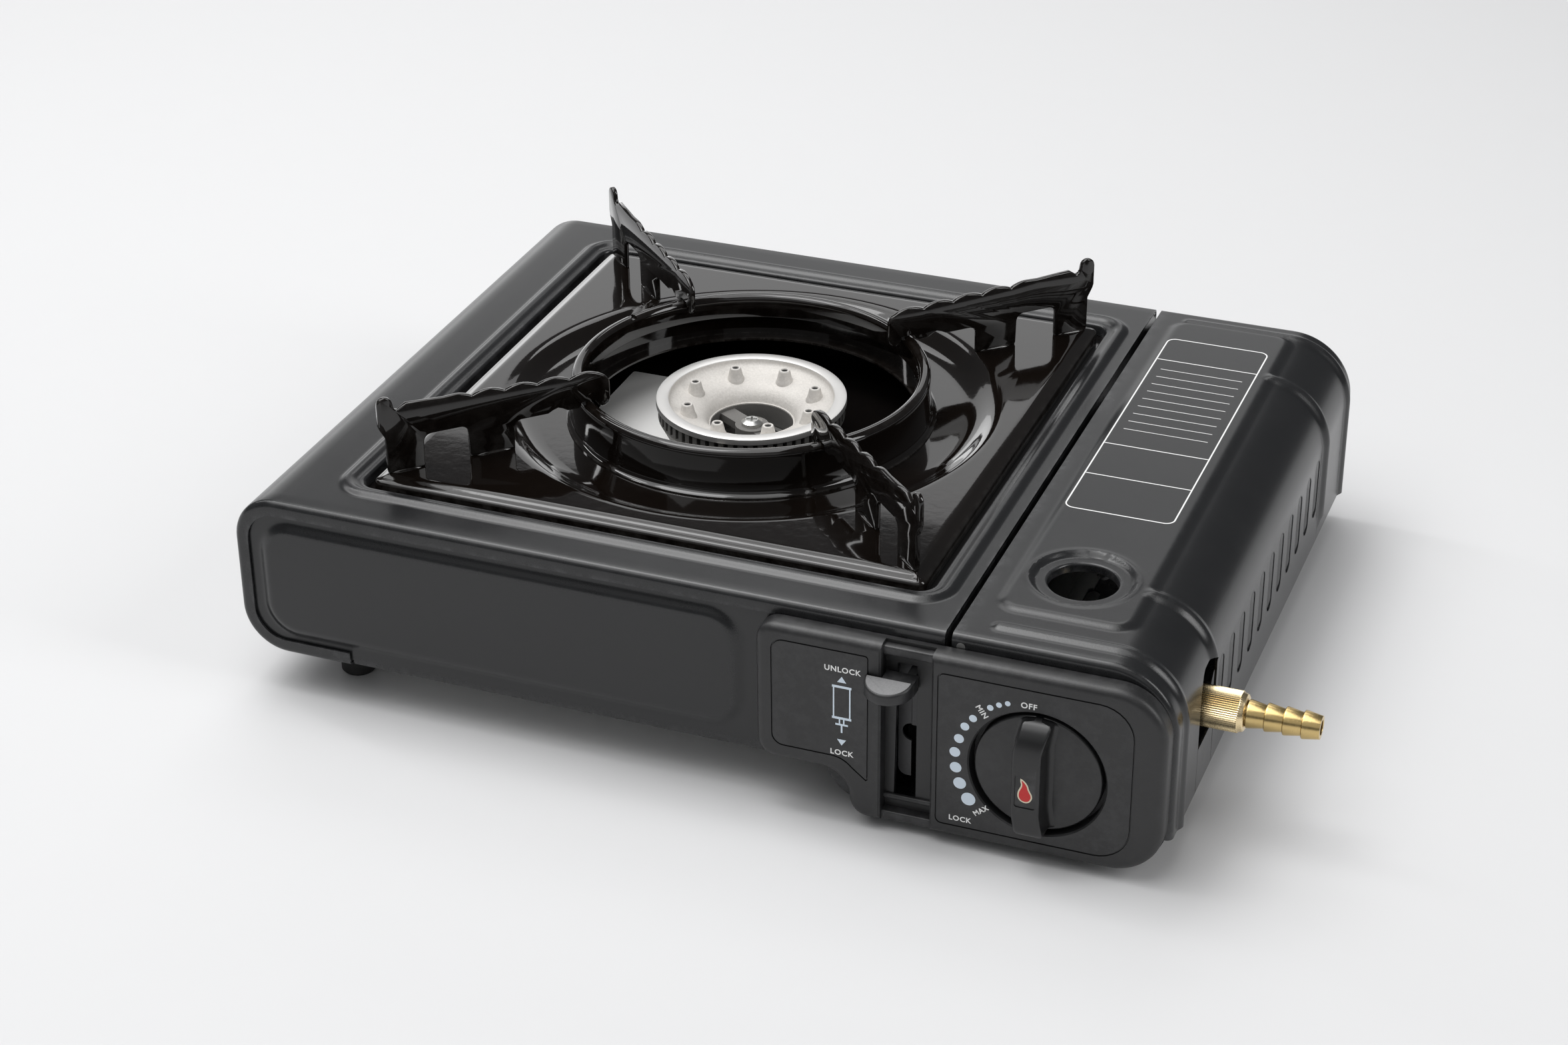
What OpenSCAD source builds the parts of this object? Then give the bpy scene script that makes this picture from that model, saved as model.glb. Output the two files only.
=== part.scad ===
// Portable stove for a butane cartridge: a pressed steel body with a lift-off enamelled
// trivet, a cast burner, a hinged cartridge bay and a moulded control panel.
// Sizes are in millimetres. X runs left to right, Y front to back and Z up.
// Inside each module the burner's axis is X = Y = 0 and the table is Z = 0.

/* [Body] */
// Burner axis to the body's left side
body_left = 145; // [143:1:152]
// Burner axis to the right edge of the deck, where the bay begins
deck_right = 119; // [118:0.5:124]
// Depth of the body, front to back
body_d = 260; // [256:1:276]
// Height of the body's steel shell
body_h = 61.7; // [60:0.5:66]
// Height of the underside above the table
foot_h = 16; // [14.5:0.5:20]
// Thickness of the pressed steel
sheet = 0.8; // [0.6:0.1:1]
// Radius of the shell's rounded left side
wrap_r = 17; // [14:1:22]
// Width of the shell's bottom, turned under from the left side
under_w = 42.5; // [40:1:60]
// Width of the rim turned in at the front and back
rim_w = 5.5; // [4.5:0.5:6.5]
// Outside radius of the bend along that rim
rim_bend = 2.4; // [1.6:0.2:3]
// Gap between overlapping sheets and between the shell and its end panels
lap_gap = 0.3; // [0.2:0.05:0.4]
// Height of the raised field pressed in the end panels
emboss_h = 2; // [1:0.2:2.6]
// Width of the slope round a pressed field
emboss_slope = 4; // [3:0.5:6]
// Right end of the front panel's raised field, from the burner axis
emboss_right = 50; // [20:1:52]
// Width of the beads pressed in the deck and lid
bead_w = 7; // [5:0.5:8]
// Height of those beads
bead_h = 1.5; // [1:0.1:2]
// Radius of a rubber foot
foot_r = 6.4; // [5:0.2:8]
// Distance from a foot to the body's front or back
foot_inset = 23; // [20:1:30]

/* [Drip tray and trivet] */
// Width of the drip tray
tray_w = 206; // [200:1:208]
// Depth of the drip tray
tray_d = 208; // [202:1:212]
// Height of the tray's flat above the deck
tray_rise = 1.8; // [1:0.1:3]
// Thickness of the enamelled sheet
enamel = 0.8; // [0.6:0.1:1]
// Gap round the tray in its opening
tray_gap = 3.2; // [2:0.2:4]
// Depth of the opening's turned-down edge
opening_lip = 4.5; // [3.5:0.5:6]
// Outside radius of the round dish pressed in the tray
dish_r = 90.5; // [86:0.5:94]
// Depth of that dish
dish_depth = 5.4; // [4:0.2:6]
// Outside radius of the wind ring
ring_r = 66.2; // [64:0.2:68]
// Height of the wind ring above the tray's flat
ring_rise = 12.35; // [10:0.2:14]
// Half the width of the ring's rolled rim
rim_roll = 2.5; // [2:0.1:3]
// Depth of the skirt inside the ring
ring_skirt = 9; // [6:0.5:11]
// Thickness of a pan arm
arm_t = 2; // [1.6:0.1:2.4]
// Radius that the pan arms reach
arm_reach = 142.3; // [140.5:0.2:143]
// Height of a pan arm's support edge above the tray
arm_h = 22; // [20:0.5:25]
// Spacing of the scallops on a pan arm
scallop_pitch = 12.2; // [10:0.2:14]
// Depth of the scallops
scallop_depth = 1.6; // [0.8:0.1:2]

/* [Burner] */
// Radius of the burner head
head_r = 35.3; // [33:0.2:37]
// Height of the head's rim above the tray's flat
head_rise = 0.75; // [0:0.25:3]
// Width of the machined rim
head_rim = 4.6; // [3.5:0.2:6]
// Depth of the head's bowl
bowl_depth = 9.5; // [8:0.5:11]
// Radius of the hole in the middle of the head
bowl_hole_r = 16.3; // [14:0.2:18]
// Number of flame nozzles
nozzle_count = 8; // [6:1:10]
// Radius of the circle of nozzles
nozzle_ring_r = 24.3; // [23:0.1:25.5]
// Radius of a nozzle's tip
nozzle_tip_r = 2.4; // [2:0.1:3]
// Number of flame ports round the burner
port_count = 60; // [40:2:64]
// Width of a flame port
port_w = 1.6; // [1.2:0.1:1.8]
// Height of the well's floor above the table
well_floor = 56; // [54.5:0.5:58]
// Tray's edge to the inside of the well
well_inset = 5; // [4:0.5:7]
// Radius of the burner's neck
neck_r = 15; // [13:0.5:16]
// Height of the mixing tube's axis above the table
mixer_z = 44; // [43:0.5:45]
// Outside radius of the mixing tube
mixer_r = 8.5; // [7:0.5:9.5]

/* [Cartridge bay] */
// Gap between the deck and the lid
lid_gap = 2.4; // [2.2:0.1:3]
// Width of the lid
lid_w = 76.4; // [76:0.2:80]
// Radius of the lid's rounded shoulder
lid_r = 24; // [22:0.5:27]
// Height of the lid's lower edge above the table
lid_foot = 15; // [13:0.5:17]
// Lid's left edge to its hinge pin
hinge_in = 3.1; // [3:0.1:3.4]
// Lid's top to its hinge pin
hinge_down = 4.2; // [4:0.1:4.4]
// Radius of the hinge pins
pin_r = 1.5; // [1.2:0.1:1.6]
// Running clearance of a pin or shaft in its hole
running = 0.05; // [0.02:0.01:0.1]
// Radius of the finger hole in the lid
finger_r = 11.9; // [10:0.2:13]
// Number of louvres in the lid's side
louvre_count = 11; // [7:1:11]
// Spacing of the louvres
louvre_pitch = 14.5; // [12:0.5:14.5]
// Radius of the cartridge that the bay takes
cartridge_r = 33.5; // [32:0.5:33.5]
// Length of the cartridge's body
cartridge_l = 185; // [182:1:187]
// Height of the bay's underside above the table
trough_foot = 5; // [4.6:0.2:5.4]
// Left side of the bay's trough, from the burner axis
trough_left = 78; // [74:1:82]
// Radius of the trough's lower corners
trough_r = 13; // [11:0.5:15]

/* [Control panel] */
// Left end of the moulded control panel, from the burner axis
fascia_left = 55.5; // [54:0.5:60]
// Thickness of the moulding
fascia_d = 7.4; // [6.4:0.2:8]
// Deck to the top of the moulding
fascia_drop = 4.7; // [4:0.1:6]
// Height of the moulding's lower edge above the table
fascia_foot = 4; // [3:0.5:4.5]
// Height of the left wing's lower edge above the table
wing_foot = 20.7; // [19:0.5:24]
// Radius of the moulding's right corners
fascia_r = 18; // [14:1:20]
// Rounding of the moulding's front edges
fascia_round = 3; // [2:0.5:4]
// Left side of the lever's channel, from the burner axis
channel_x = 99.8; // [99:0.2:101]
// Width of the lever's channel
channel_w = 17.5; // [16.5:0.5:18.5]
// Depth of that channel
channel_d = 5.4; // [4.5:0.1:5.6]
// Burner axis to the knob's axis, along X
knob_x = 153.8; // [151:0.2:156]
// Height of the knob's axis above the table
knob_z = 35.7; // [34:0.2:37]
// Radius of the knob's disc
knob_r = 22.4; // [20:0.2:23]
// Gap round the disc in its recess
knob_gap = 0.9; // [0.6:0.1:1.2]
// Width of the knob's grip
grip_w = 10; // [8:0.5:12]
// Height of the grip above the moulding's face
grip_h = 7.8; // [6:0.2:9]
// Radius of the valve's stem
stem_r = 3; // [2.5:0.1:3.5]

/* [Cartridge lever] */
// Travel of the lever from unlocked to locked
lever_travel = 30; // [24:1:30]
// Travel of the cartridge slider for that
slider_travel = 6; // [4:0.5:7]
// Thickness of the lever's plate
lever_t = 3.1; // [2.4:0.1:3.2]
// Height of the thumb tab's top above the table, when unlocked
tab_top = 61.5; // [60:0.5:62]
// Thickness of the thumb tab
tab_t = 5.5; // [4.5:0.5:6.5]
// Distance that the thumb tab stands out of the moulding
tab_reach = 11.7; // [9:0.3:13]
// Radius of the slider's drive pin
drive_pin_r = 1.5; // [1.2:0.1:1.8]
// Clearance round the drive pin in its slanted slot
drive_gap = 0.2; // [0.15:0.05:0.3]

/* [Gas fitting] */
// Distance of the hose fitting from the body's front
fitting_in = 40; // [39:0.5:41]
// Height of the fitting's axis above the table
fitting_z = 43.5; // [42:0.5:45]
// Outside radius of the knurled nut
nut_r = 7.1; // [6.6:0.1:7.6]
// Length of the knurled nut
nut_l = 22; // [20:0.5:24]
// Length of the hose tail beyond the nut
tail_l = 25; // [20:1:30]
// Radius of the barbs
barb_r = 4.9; // [4.6:0.1:5.4]
// Bore of the hose tail, as a radius
tail_bore_r = 2.6; // [2:0.1:2.9]
// Number of barbs
barb_count = 4; // [3:1:5]

/* [Hidden] */
$fa = 6;
$fs = 0.4;
eps = 0.01;

INK = "#1b1b1d";
ENAMEL = "#15110f";
MOULD = "#2b2b2c";
CAST = "#b9b7b1";
BRASS = "#c9a24f";
ZINC = "#9a9c9e";
RUBBER = "#161616";
RED = "#c8201c";
WHITE = "#e8e6df";

deck_z = foot_h + body_h;
tray_z = deck_z + tray_rise;
half_d = body_d / 2;
panel_t = sheet;
panel_y = half_d - sheet - lap_gap;
panel_in = panel_y - panel_t;
shell_floor = foot_h + sheet;
pan_top = shell_floor + sheet;
trough_in = trough_foot + sheet;
trough_top = trough_foot + 19;

// The tray's opening in the deck, and the bead round it
well_half = tray_w / 2 - well_inset;
open_w = tray_w + 2 * tray_gap;
open_d = tray_d + 2 * tray_gap;
open_r = 6;
bead_out = 11;
bead_w_ring = open_w + bead_out;
bead_d_ring = open_d + bead_out;
bead_r_ring = 10;
deck_flange = 7;
ledge_z = deck_z - opening_lip;
dish_z = tray_z - dish_depth;
ring_top = tray_z + ring_rise;
head_z = tray_z + head_rise;

// The lid and its hinge
lid_left = deck_right + lid_gap;
lid_right = lid_left + lid_w;
lid_flat = lid_right - lid_r;
pin_x = lid_left + hinge_in;
pin_z = deck_z - hinge_down;
// Inside the bend of the lid's rim, how far its sheet lies above the panels' outer faces
rim_in_r = rim_bend - sheet;
bend_rise = sqrt(pow(rim_in_r, 2) - pow(rim_in_r - lap_gap, 2));
pin_lug_r = hinge_down - rim_bend + bend_rise - lap_gap;
hinge_sweep = norm([hinge_in, hinge_down]) + lap_gap;
trough_right = lid_right - 2.2;

// The cartridge's axis in its bay
bay_x = (lid_left + lid_right) / 2 - 1.6;
slider_z = trough_in + lap_gap;
slider_t = 1.2;
bay_z = slider_z + slider_t + lap_gap + cartridge_r;
slider_back = half_d - 12;
slider_front = -half_d + 16;
shield_x = deck_right - 2 * sheet;
shield_front = -half_d + 38;

// The control panel
face_y = -(half_d + 0.4 + fascia_d);
fascia_back = -(half_d + 0.4);
fascia_right = lid_right - 1.5;
fascia_top = deck_z - fascia_drop;
channel_back = face_y + channel_d;

// The lever, its slot and the slider's drive pin
lever_x = channel_x + 7.4;
lever_back = -half_d + 26.9;
drive_y = -half_d + 17;
drive_z = trough_in + 35;
plate_foot = drive_z - 3.2;
plate_top = drive_z + lever_travel + 3.2;
ear_x = lever_x + lever_t + 1;
tang_in = 0.5;
tang_h = tab_t - 2 * tang_in;
tang_l = 4;
ear_t = 1.5;

// The valve train behind the knob
valve_neck_l = 12;
valve_l = 35;
valve_r = 11;
regulator_l = 14;
regulator_r = 20;
socket_l = 7.4;
socket_r = 13;
socket_in_r = 9;
valve_front = -panel_in;
valve_mid = -half_d + valve_neck_l;
valve_back = -half_d + valve_l;
regulator_back = valve_back + regulator_l;
regulator_x = knob_x + 2.2;
regulator_z = knob_z + 4.3;
fitting_y = -half_d + fitting_in;
inlet_start = regulator_x + regulator_r + 1;
inlet_end = lid_right - 4.8;
nut_start = inlet_end - 4;
nut_end = nut_start + nut_l;
fit_end = nut_end + tail_l;
thread_r = nut_r - 2.4;
shank_r = thread_r - 0.3;

// The mixing tube runs from the neck towards the valve
jet_x = deck_right - valve_neck_l - 3;
jet_y = -half_d + valve_l + 9;
mixer_angle = atan2(jet_y, jet_x);
mixer_run = norm([jet_x, jet_y]);
mixer_end = mixer_run - regulator_l;
jet_end = mixer_end + 12.6;
boss_end = neck_r + 2;
port_reach = 13;

foot_y = half_d - foot_inset;
left_foot_in = 32.5;
right_foot_in = 5.6;
left_foot_x = -body_left + left_foot_in;
right_foot_x = trough_right - trough_r - right_foot_in;

// Moves the burner's axis to its place in a frame centred under the whole stove
module place() {
  back = half_d;
  front = face_y - 0.3 - tab_reach;
  translate([-(fit_end - body_left) / 2, -(back + front) / 2, 0]) children();
}

// ---- shared profiles ----

// Rectangle with round corners, centred
module rounded(w, d, r) {
  square([w - 2 * r, d], center = true);
  square([w, d - 2 * r], center = true);
  for (sx = [-1, 1], sy = [-1, 1])
    translate([sx * (w / 2 - r), sy * (d / 2 - r)]) circle(r);
}

// Slot with round ends, centred, its length along Y
module obround(w, l) {
  square([w, l - w], center = true);
  for (s = [-1, 1]) translate([0, s * (l - w) / 2]) circle(w / 2);
}

// Bar along Y whose outer corners, at X = 0, are round
module bent_bar(d, w, r) {
  translate([-w, -d / 2]) square([w - r, d]);
  translate([-r - eps, -d / 2 + r]) square([r + eps, d - 2 * r]);
  for (s = [-1, 1]) translate([-r, s * (d / 2 - r)]) circle(r);
}

// Section of a sheet with both ends turned in: X is outward, Y runs front to back
module flanged_section(d, rim, bend, t) {
  difference() {
    bent_bar(d, rim, bend);
    translate([-t, 0]) bent_bar(d - 2 * t, rim, bend - t);
  }
}

// Section of one bead that stands on the sheet at the distance y from the middle
module bead_section(y) {
  r = (pow(bead_w / 2, 2) + pow(bead_h, 2)) / (2 * bead_h);
  intersection() {
    translate([bead_h - r, y]) circle(r, $fn = 72);
    translate([-sheet / 2, y - bead_w]) square([bead_h + sheet, 2 * bead_w]);
  }
}

// Runs a section along X on top, over the length l from x
module along_top(x, l, z) {
  translate([x + l, 0, z]) rotate([0, -90, 0]) linear_extrude(l) children();
}

// Runs a section down the right side, over the height h from z
module along_side(x, z, h) {
  translate([x, 0, z]) linear_extrude(h) children();
}

// Turns a section through a quarter round an axis along Y
module round_corner(x, z, r, start) {
  translate([x, 0, z]) rotate([-90, 0, 0])
    rotate_extrude(angle = 90, start = start) translate([r, 0]) children();
}

// Raised field with sloping edges, its back on Z = 0
module pressed_field(w, d, r, h, slope) {
  hull() {
    linear_extrude(eps) rounded(w, d, r, $fn = 32);
    translate([0, 0, h - eps]) linear_extrude(eps)
      rounded(w - 2 * slope, d - 2 * slope, max(r - slope, 1), $fn = 32);
  }
}

// A field pressed out of a sheet of thickness t: what it adds
module field_skin(w, d, r, h, slope, t) {
  difference() {
    pressed_field(w, d, r, h, slope);
    translate([0, 0, -t]) pressed_field(w, d, r, h, slope);
  }
}

// Turns a solid drawn over XZ, with its thickness up, to face the front at y
module facing_front(y) {
  translate([0, y, 0]) rotate([90, 0, 0]) children();
}

// Outline of the trough in XZ, open above
module trough_outline(grow) {
  left = trough_left - grow;
  right = trough_right + grow;
  low = trough_foot - grow;
  r = trough_r + grow;
  translate([left + r, low]) square([right - left - 2 * r, trough_top - low]);
  translate([left, low + r]) square([right - left, trough_top - low - r]);
  translate([left + r, low + r]) circle(r);
  translate([right - r, low + r]) circle(r);
}

// Outline of the front and back panels in XZ, cut away where the lid's edge swings down
module end_outline() {
  difference() {
    end_plate();
    intersection() {
      translate([pin_x, pin_z]) circle(hinge_sweep);
      translate([pin_x, pin_z]) polygon([[0, 0], [0, 9], [-9, 9], [-9, -9], [-4.2, -9]]);
    }
  }
  translate([pin_x, pin_z]) circle(pin_lug_r);
}

module end_plate() {
  inset = rim_bend;
  r = wrap_r - inset;
  top = deck_z - inset;
  low = foot_h + inset;
  left = -body_left + inset;
  translate([left + r, low]) square([deck_right - left - r, top - low]);
  translate([left, low + r]) square([r + eps, top - low - 2 * r]);
  translate([left + r, low + r]) circle(r);
  translate([left + r, top - r]) circle(r);
  intersection() {
    trough_outline(0);
    translate([trough_left, trough_foot]) square([lid_w * 2, low + 4 - trough_foot]);
  }
  bay_right = trough_right + 0.4;
  bay_r = lid_r - 1.8;
  translate([deck_right - 20, low]) square([bay_right - bay_r - deck_right + 20, top - low]);
  translate([deck_right, low]) square([bay_right - deck_right, top - bay_r - low]);
  translate([bay_right - bay_r, top - bay_r]) circle(bay_r);
}

// ---- steel body ----

// Deck, left side and turned-under bottom, bent from one sheet
module shell_wrap() {
  flat_left = -body_left + wrap_r;
  along_top(flat_left, deck_right - flat_left, deck_z) children();
  round_corner(flat_left, deck_z - wrap_r, wrap_r, 180) children();
  translate([-body_left, 0, foot_h + wrap_r]) rotate([0, 0, 180])
    linear_extrude(body_h - 2 * wrap_r) children();
  round_corner(flat_left, foot_h + wrap_r, wrap_r, 90) children();
  translate([flat_left, 0, foot_h]) rotate([0, 90, 0])
    linear_extrude(under_w - wrap_r) children();
}

// Bead that runs round the tray's opening
module opening_bead() {
  cx = bead_w_ring / 2 - bead_r_ring;
  cy = bead_d_ring / 2 - bead_r_ring;
  for (s = [0, 1]) rotate([0, 0, 180 * s]) {
    translate([bead_w_ring / 2, cy, deck_z]) rotate([90, 0, 0])
      linear_extrude(2 * cy) rotate(90) bead_section(0);
    translate([-cx, bead_d_ring / 2, deck_z]) rotate([90, 0, 90])
      linear_extrude(2 * cx) rotate(90) bead_section(0);
    for (m = [0, 1]) mirror([m, 0, 0])
      translate([cx, cy, deck_z]) rotate_extrude(angle = 90)
        translate([bead_r_ring, 0]) rotate(90) bead_section(0);
  }
}

module main_shell() {
  color(INK) place() difference() {
    union() {
      shell_wrap() flanged_section(body_d, rim_w, rim_bend, sheet);
      opening_bead();
      translate([0, 0, ledge_z]) linear_extrude(opening_lip - sheet / 2)
        rounded(open_w + 2 * sheet, open_d + 2 * sheet, open_r + sheet);
      translate([deck_right - sheet, -panel_in, deck_z - deck_flange])
        cube([sheet, 2 * panel_in, deck_flange - sheet / 2]);
    }
    translate([0, 0, ledge_z - 1]) linear_extrude(opening_lip + 8)
      rounded(open_w, open_d, open_r);
    for (s = [-1, 1]) translate([left_foot_x, s * foot_y, foot_h - 1])
      cylinder(r = 1.9 + running, h = 4);
  }
}

// Pattern of the screws that hold the control panel, in XZ
panel_screw_at = [[fascia_left + 10, (wing_foot + fascia_top) / 2 - 2],
  [fascia_right - 9, fascia_top - 11], [fascia_right - 9, fascia_foot + fascia_r]];

// Window in the front panel behind the lever
module lever_window() {
  low = tab_top - tab_t - lever_travel - 2;
  translate([lever_x - 2.2, low]) square([lever_t + 4.4, tab_top + 2 - low]);
}

module front_panel() {
  field_w = emboss_right + body_left - 8.5;
  field_h = body_h - 12;
  color(INK) place() {
    difference() {
      facing_front(-panel_in) linear_extrude(panel_t) difference() {
        end_outline();
        translate([knob_x, knob_z]) circle(stem_r + 1);
        translate([pin_x, pin_z]) circle(pin_r);
        lever_window();
        for (p = panel_screw_at) translate(p) circle(1.4);
      }
      translate([emboss_right - field_w / 2, 0, foot_h + body_h / 2])
        facing_front(-panel_in + eps) translate([0, 0, -1])
          linear_extrude(panel_t + 2) rounded(field_w - 2, field_h - 2, 14);
    }
    translate([emboss_right - field_w / 2, 0, foot_h + body_h / 2])
      facing_front(-panel_in) {
        linear_extrude(panel_t) difference() {
          rounded(field_w - 2, field_h - 2, 14);
          rounded(field_w - 6, field_h - 6, 12);
        }
        translate([0, 0, panel_t])
          field_skin(field_w - 2, field_h - 2, 14, emboss_h, emboss_slope, panel_t);
      }
  }
}

// Row of vents at the back of the cartridge bay
module back_vents() {
  for (i = [0:5]) translate([deck_right + 16 + 9 * i, deck_z - 30]) obround(3.4, 24);
}

module back_panel() {
  field_w = deck_right + body_left - 24;
  field_h = body_h - 12;
  mid = (deck_right - body_left) / 2 - 1;
  color(INK) place() mirror([0, 1, 0]) {
    facing_front(-panel_in) linear_extrude(panel_t) difference() {
      end_outline();
      translate([pin_x, pin_z]) circle(pin_r);
      back_vents();
      translate([mid, foot_h + body_h / 2]) rounded(field_w - 6, field_h - 6, 12);
    }
    translate([mid, 0, foot_h + body_h / 2]) facing_front(-panel_y)
      field_skin(field_w - 2, field_h - 2, 14, emboss_h, emboss_slope, panel_t);
  }
}

module bottom_pan() {
  left = -body_left + wrap_r;
  half = half_d - rim_bend;
  edge = 9;
  color(ZINC) place() difference() {
    union() {
      translate([left, -half, shell_floor]) cube([trough_left + sheet - left, 2 * half, sheet]);
      for (s = [-1, 1]) translate([left, s * (half - sheet / 2) - sheet / 2, shell_floor])
        cube([trough_left + sheet - left, sheet, edge]);
    }
    for (i = [-4:4], s = [-1, 1])
      translate([i * 20 - 24, s * 48, shell_floor - 1]) linear_extrude(3) obround(5, 46);
    for (s = [-1, 1]) translate([left_foot_x, s * foot_y, shell_floor - 1])
      cylinder(r = 1.9 + running, h = 4);
  }
}

// ---- cartridge bay ----

// Notch in the lid's side that lets it swing past the hose fitting, in YZ
notch_low = lid_foot + 17;
notch_top = fitting_z + 16.5;
notch_w = 20.5;
notch_r = 8;
module side_notch(grow, low, top) {
  w = notch_w + 2 * grow;
  r = notch_r + grow;
  translate([-w / 2, low]) square([w, top + grow - r - low]);
  translate([-w / 2 + r, low]) square([w - 2 * r, top + grow - low]);
  for (s = [-1, 1]) translate([s * (w / 2 - r), top + grow - r]) circle(r);
}

module bay_trough() {
  color(INK) place() {
    difference() {
      union() {
        facing_front(panel_in) linear_extrude(2 * panel_in) difference() {
          trough_outline(0);
          trough_outline(-sheet);
          translate([trough_left - 1, foot_h + sheet]) square([lid_w / 2, trough_top]);
          translate([trough_left + sheet, trough_top - eps]) square([lid_w * 2, 5]);
          translate([trough_left + sheet, trough_in + trough_r])
            square([trough_right - trough_left - 2 * sheet, trough_top]);
        }
        translate([trough_left - 8, -panel_in, foot_h])
          cube([8.6, 2 * panel_in, sheet]);
      }
      for (i = [-2:2]) translate([deck_right + 7, i * 30 + 20, trough_foot - 1])
        linear_extrude(3) obround(5, 22);
      for (s = [-1, 1]) translate([right_foot_x, s * foot_y, trough_foot - 1])
        cylinder(r = 1.9 + running, h = 4);
    }
    // Tongue that closes the lid's notch below the fitting
    tongue = notch_w - 2 * lap_gap;
    translate([lid_right - sheet, fitting_y - tongue / 2, lid_foot])
      cube([sheet, tongue, notch_low - lid_foot]);
    translate([trough_right - 0.7, fitting_y - tongue / 2, lid_foot])
      cube([lid_right - trough_right + 0.7, tongue, sheet]);
  }
}

module heat_shield() {
  l = panel_in - shield_front;
  h = deck_z - sheet - trough_in;
  color(ZINC) place() difference() {
    union() {
      translate([shield_x, shield_front, trough_in]) cube([sheet, l, h]);
      translate([shield_x, shield_front, trough_in]) cube([8, l, sheet]);
    }
    for (i = [0:7]) translate([shield_x - 1, shield_front + 26 + 24 * i, trough_in + h / 2 + 6])
      rotate([90, 0, 90]) linear_extrude(3) obround(5, 26);
    for (i = [-2:2]) translate([deck_right + 7, i * 30 + 20, trough_foot - 1])
      linear_extrude(4) obround(5, 22);
  }
}

// Section of the lid from its left edge, over the shoulder, down to its foot
module lid_wrap(from_x) {
  along_top(from_x, lid_flat - from_x, deck_z) children();
  round_corner(lid_flat, deck_z - lid_r, lid_r, 270) children();
  along_side(lid_right, lid_foot, deck_z - lid_r - lid_foot) children();
}

finger_x = lid_left + 30.1;
finger_y = -half_d + 47.5;
dish_w = 4.4;
plateau_l = body_d - 40;
plateau_w = lid_flat + 2.2 - lid_left - 6.1;
plateau_x = lid_left + 6.1 + plateau_w / 2;
plateau_h = 1.2;
louvre_z = (lid_foot + deck_z - lid_r) / 2 + 6.6;
louvre_h = 23;
louvre_w = 6.5;

// One louvre's tongue, bent inward from its front edge
module louvre_tongue() {
  rotate([0, 0, 16]) translate([-sheet, -sheet, -louvre_h / 2 + 2])
    cube([sheet, louvre_w, louvre_h - 4]);
}

module cartridge_lid() {
  first = -louvre_pitch * (louvre_count - 1) / 2;
  color(INK) place() difference() {
    union() {
      difference() {
        union() {
          lid_wrap(lid_left) flanged_section(body_d, rim_w, rim_bend, sheet);
          lid_wrap(lid_left + 9) for (s = [-1, 1]) bead_section(s * (half_d - 9.5));
          lid_wrap(lid_flat - eps) for (s = [-1, 1]) bead_section(s * (half_d - 46));
          for (s = [-1, 1]) translate([pin_x, s * half_d, pin_z]) rotate([s * 90, 0, 0])
            cylinder(r = hinge_in, h = sheet);
        }
        translate([plateau_x, 0, deck_z - 2]) linear_extrude(3)
          rounded(plateau_w - 3, plateau_l - 3, 6);
      }
      translate([plateau_x, 0, deck_z - 0.2])
        field_skin(plateau_w, plateau_l, 7, plateau_h + 0.2, 4, sheet);
      translate([plateau_x, 0, deck_z - sheet]) linear_extrude(sheet) difference() {
        rounded(plateau_w - 2.9, plateau_l - 2.9, 6);
        rounded(plateau_w - 6, plateau_l - 6, 4);
      }
      for (i = [0:louvre_count - 1])
        translate([lid_right - sheet / 2, first + louvre_pitch * i - louvre_w / 2, louvre_z])
          louvre_tongue();
    }
    translate([finger_x, finger_y, deck_z - 3])
      cylinder(r = finger_r + dish_w - 0.4, h = 6);
    for (i = [0:louvre_count - 1])
      translate([lid_right - sheet - 0.05, first + louvre_pitch * i, louvre_z])
        rotate([90, 0, 90]) linear_extrude(4) obround(louvre_w, louvre_h);
    translate([lid_right - 20, fitting_y, 0]) rotate([90, 0, 90]) linear_extrude(40)
      side_notch(0, lid_foot - 5, notch_top);
    for (s = [-1, 1]) translate([pin_x, s * (half_d + 1), pin_z]) rotate([s * 90, 0, 0])
      cylinder(r = pin_r + running, h = 4);
  }
  color(INK) place() translate([finger_x, finger_y, deck_z + plateau_h])
    rotate_extrude() finger_dish();
}

// Section of the dished edge round the finger hole
module finger_dish() {
  out = finger_r + dish_w;
  polygon([[finger_r, -3], [finger_r + 0.9, -3.4], [out - 0.3, -sheet], [out, -sheet],
    [out, 0], [out - 0.6, 0], [finger_r + 0.3, -2.4]]);
}

module hinge_pins() {
  color(ZINC) place() for (s = [-1, 1]) translate([pin_x, 0, pin_z]) {
    translate([0, s * (half_d + 0.1), 0]) rotate([s * 90, 0, 0])
      cylinder(r = pin_r, h = half_d + 0.1 - panel_in);
    translate([0, s * panel_in, 0]) rotate([s * 90, 0, 0]) cylinder(r = pin_r + 1.4, h = 1);
  }
}

module cartridge_slider() {
  slot_w = 10;
  slot_l = 30;
  slot_pitch = 46;
  first_slot = -60;
  end_h = 46;
  plate_w = 26;
  plate_x = bay_x - plate_w / 2;
  front = slider_front;
  color(ZINC) place() {
    difference() {
      translate([plate_x, front, slider_z]) cube([plate_w, slider_back - front, slider_t]);
      for (i = [0:3]) translate([bay_x, first_slot + slot_pitch * i, slider_z - 1])
        linear_extrude(4) obround(slot_w, slot_l);
    }
    // Upturned end that bears on the cartridge's base
    translate([plate_x, slider_back - slider_t, slider_z]) cube([plate_w, slider_t, end_h]);
    // Arm to the lever
    translate([ear_x, front, slider_z]) cube([plate_x - ear_x + 1, 19, slider_t]);
    difference() {
      translate([ear_x, front - 4, slider_z]) cube([ear_t, 13, drive_z + 4 - slider_z]);
      translate([ear_x - 1, drive_y, drive_z]) rotate([0, 90, 0])
        cylinder(r = drive_pin_r, h = ear_t + 2);
    }
    // Seat of the return spring
    translate([ear_x + 8, front, slider_z]) cube([12, slider_t, 12]);
  }
}

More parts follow.
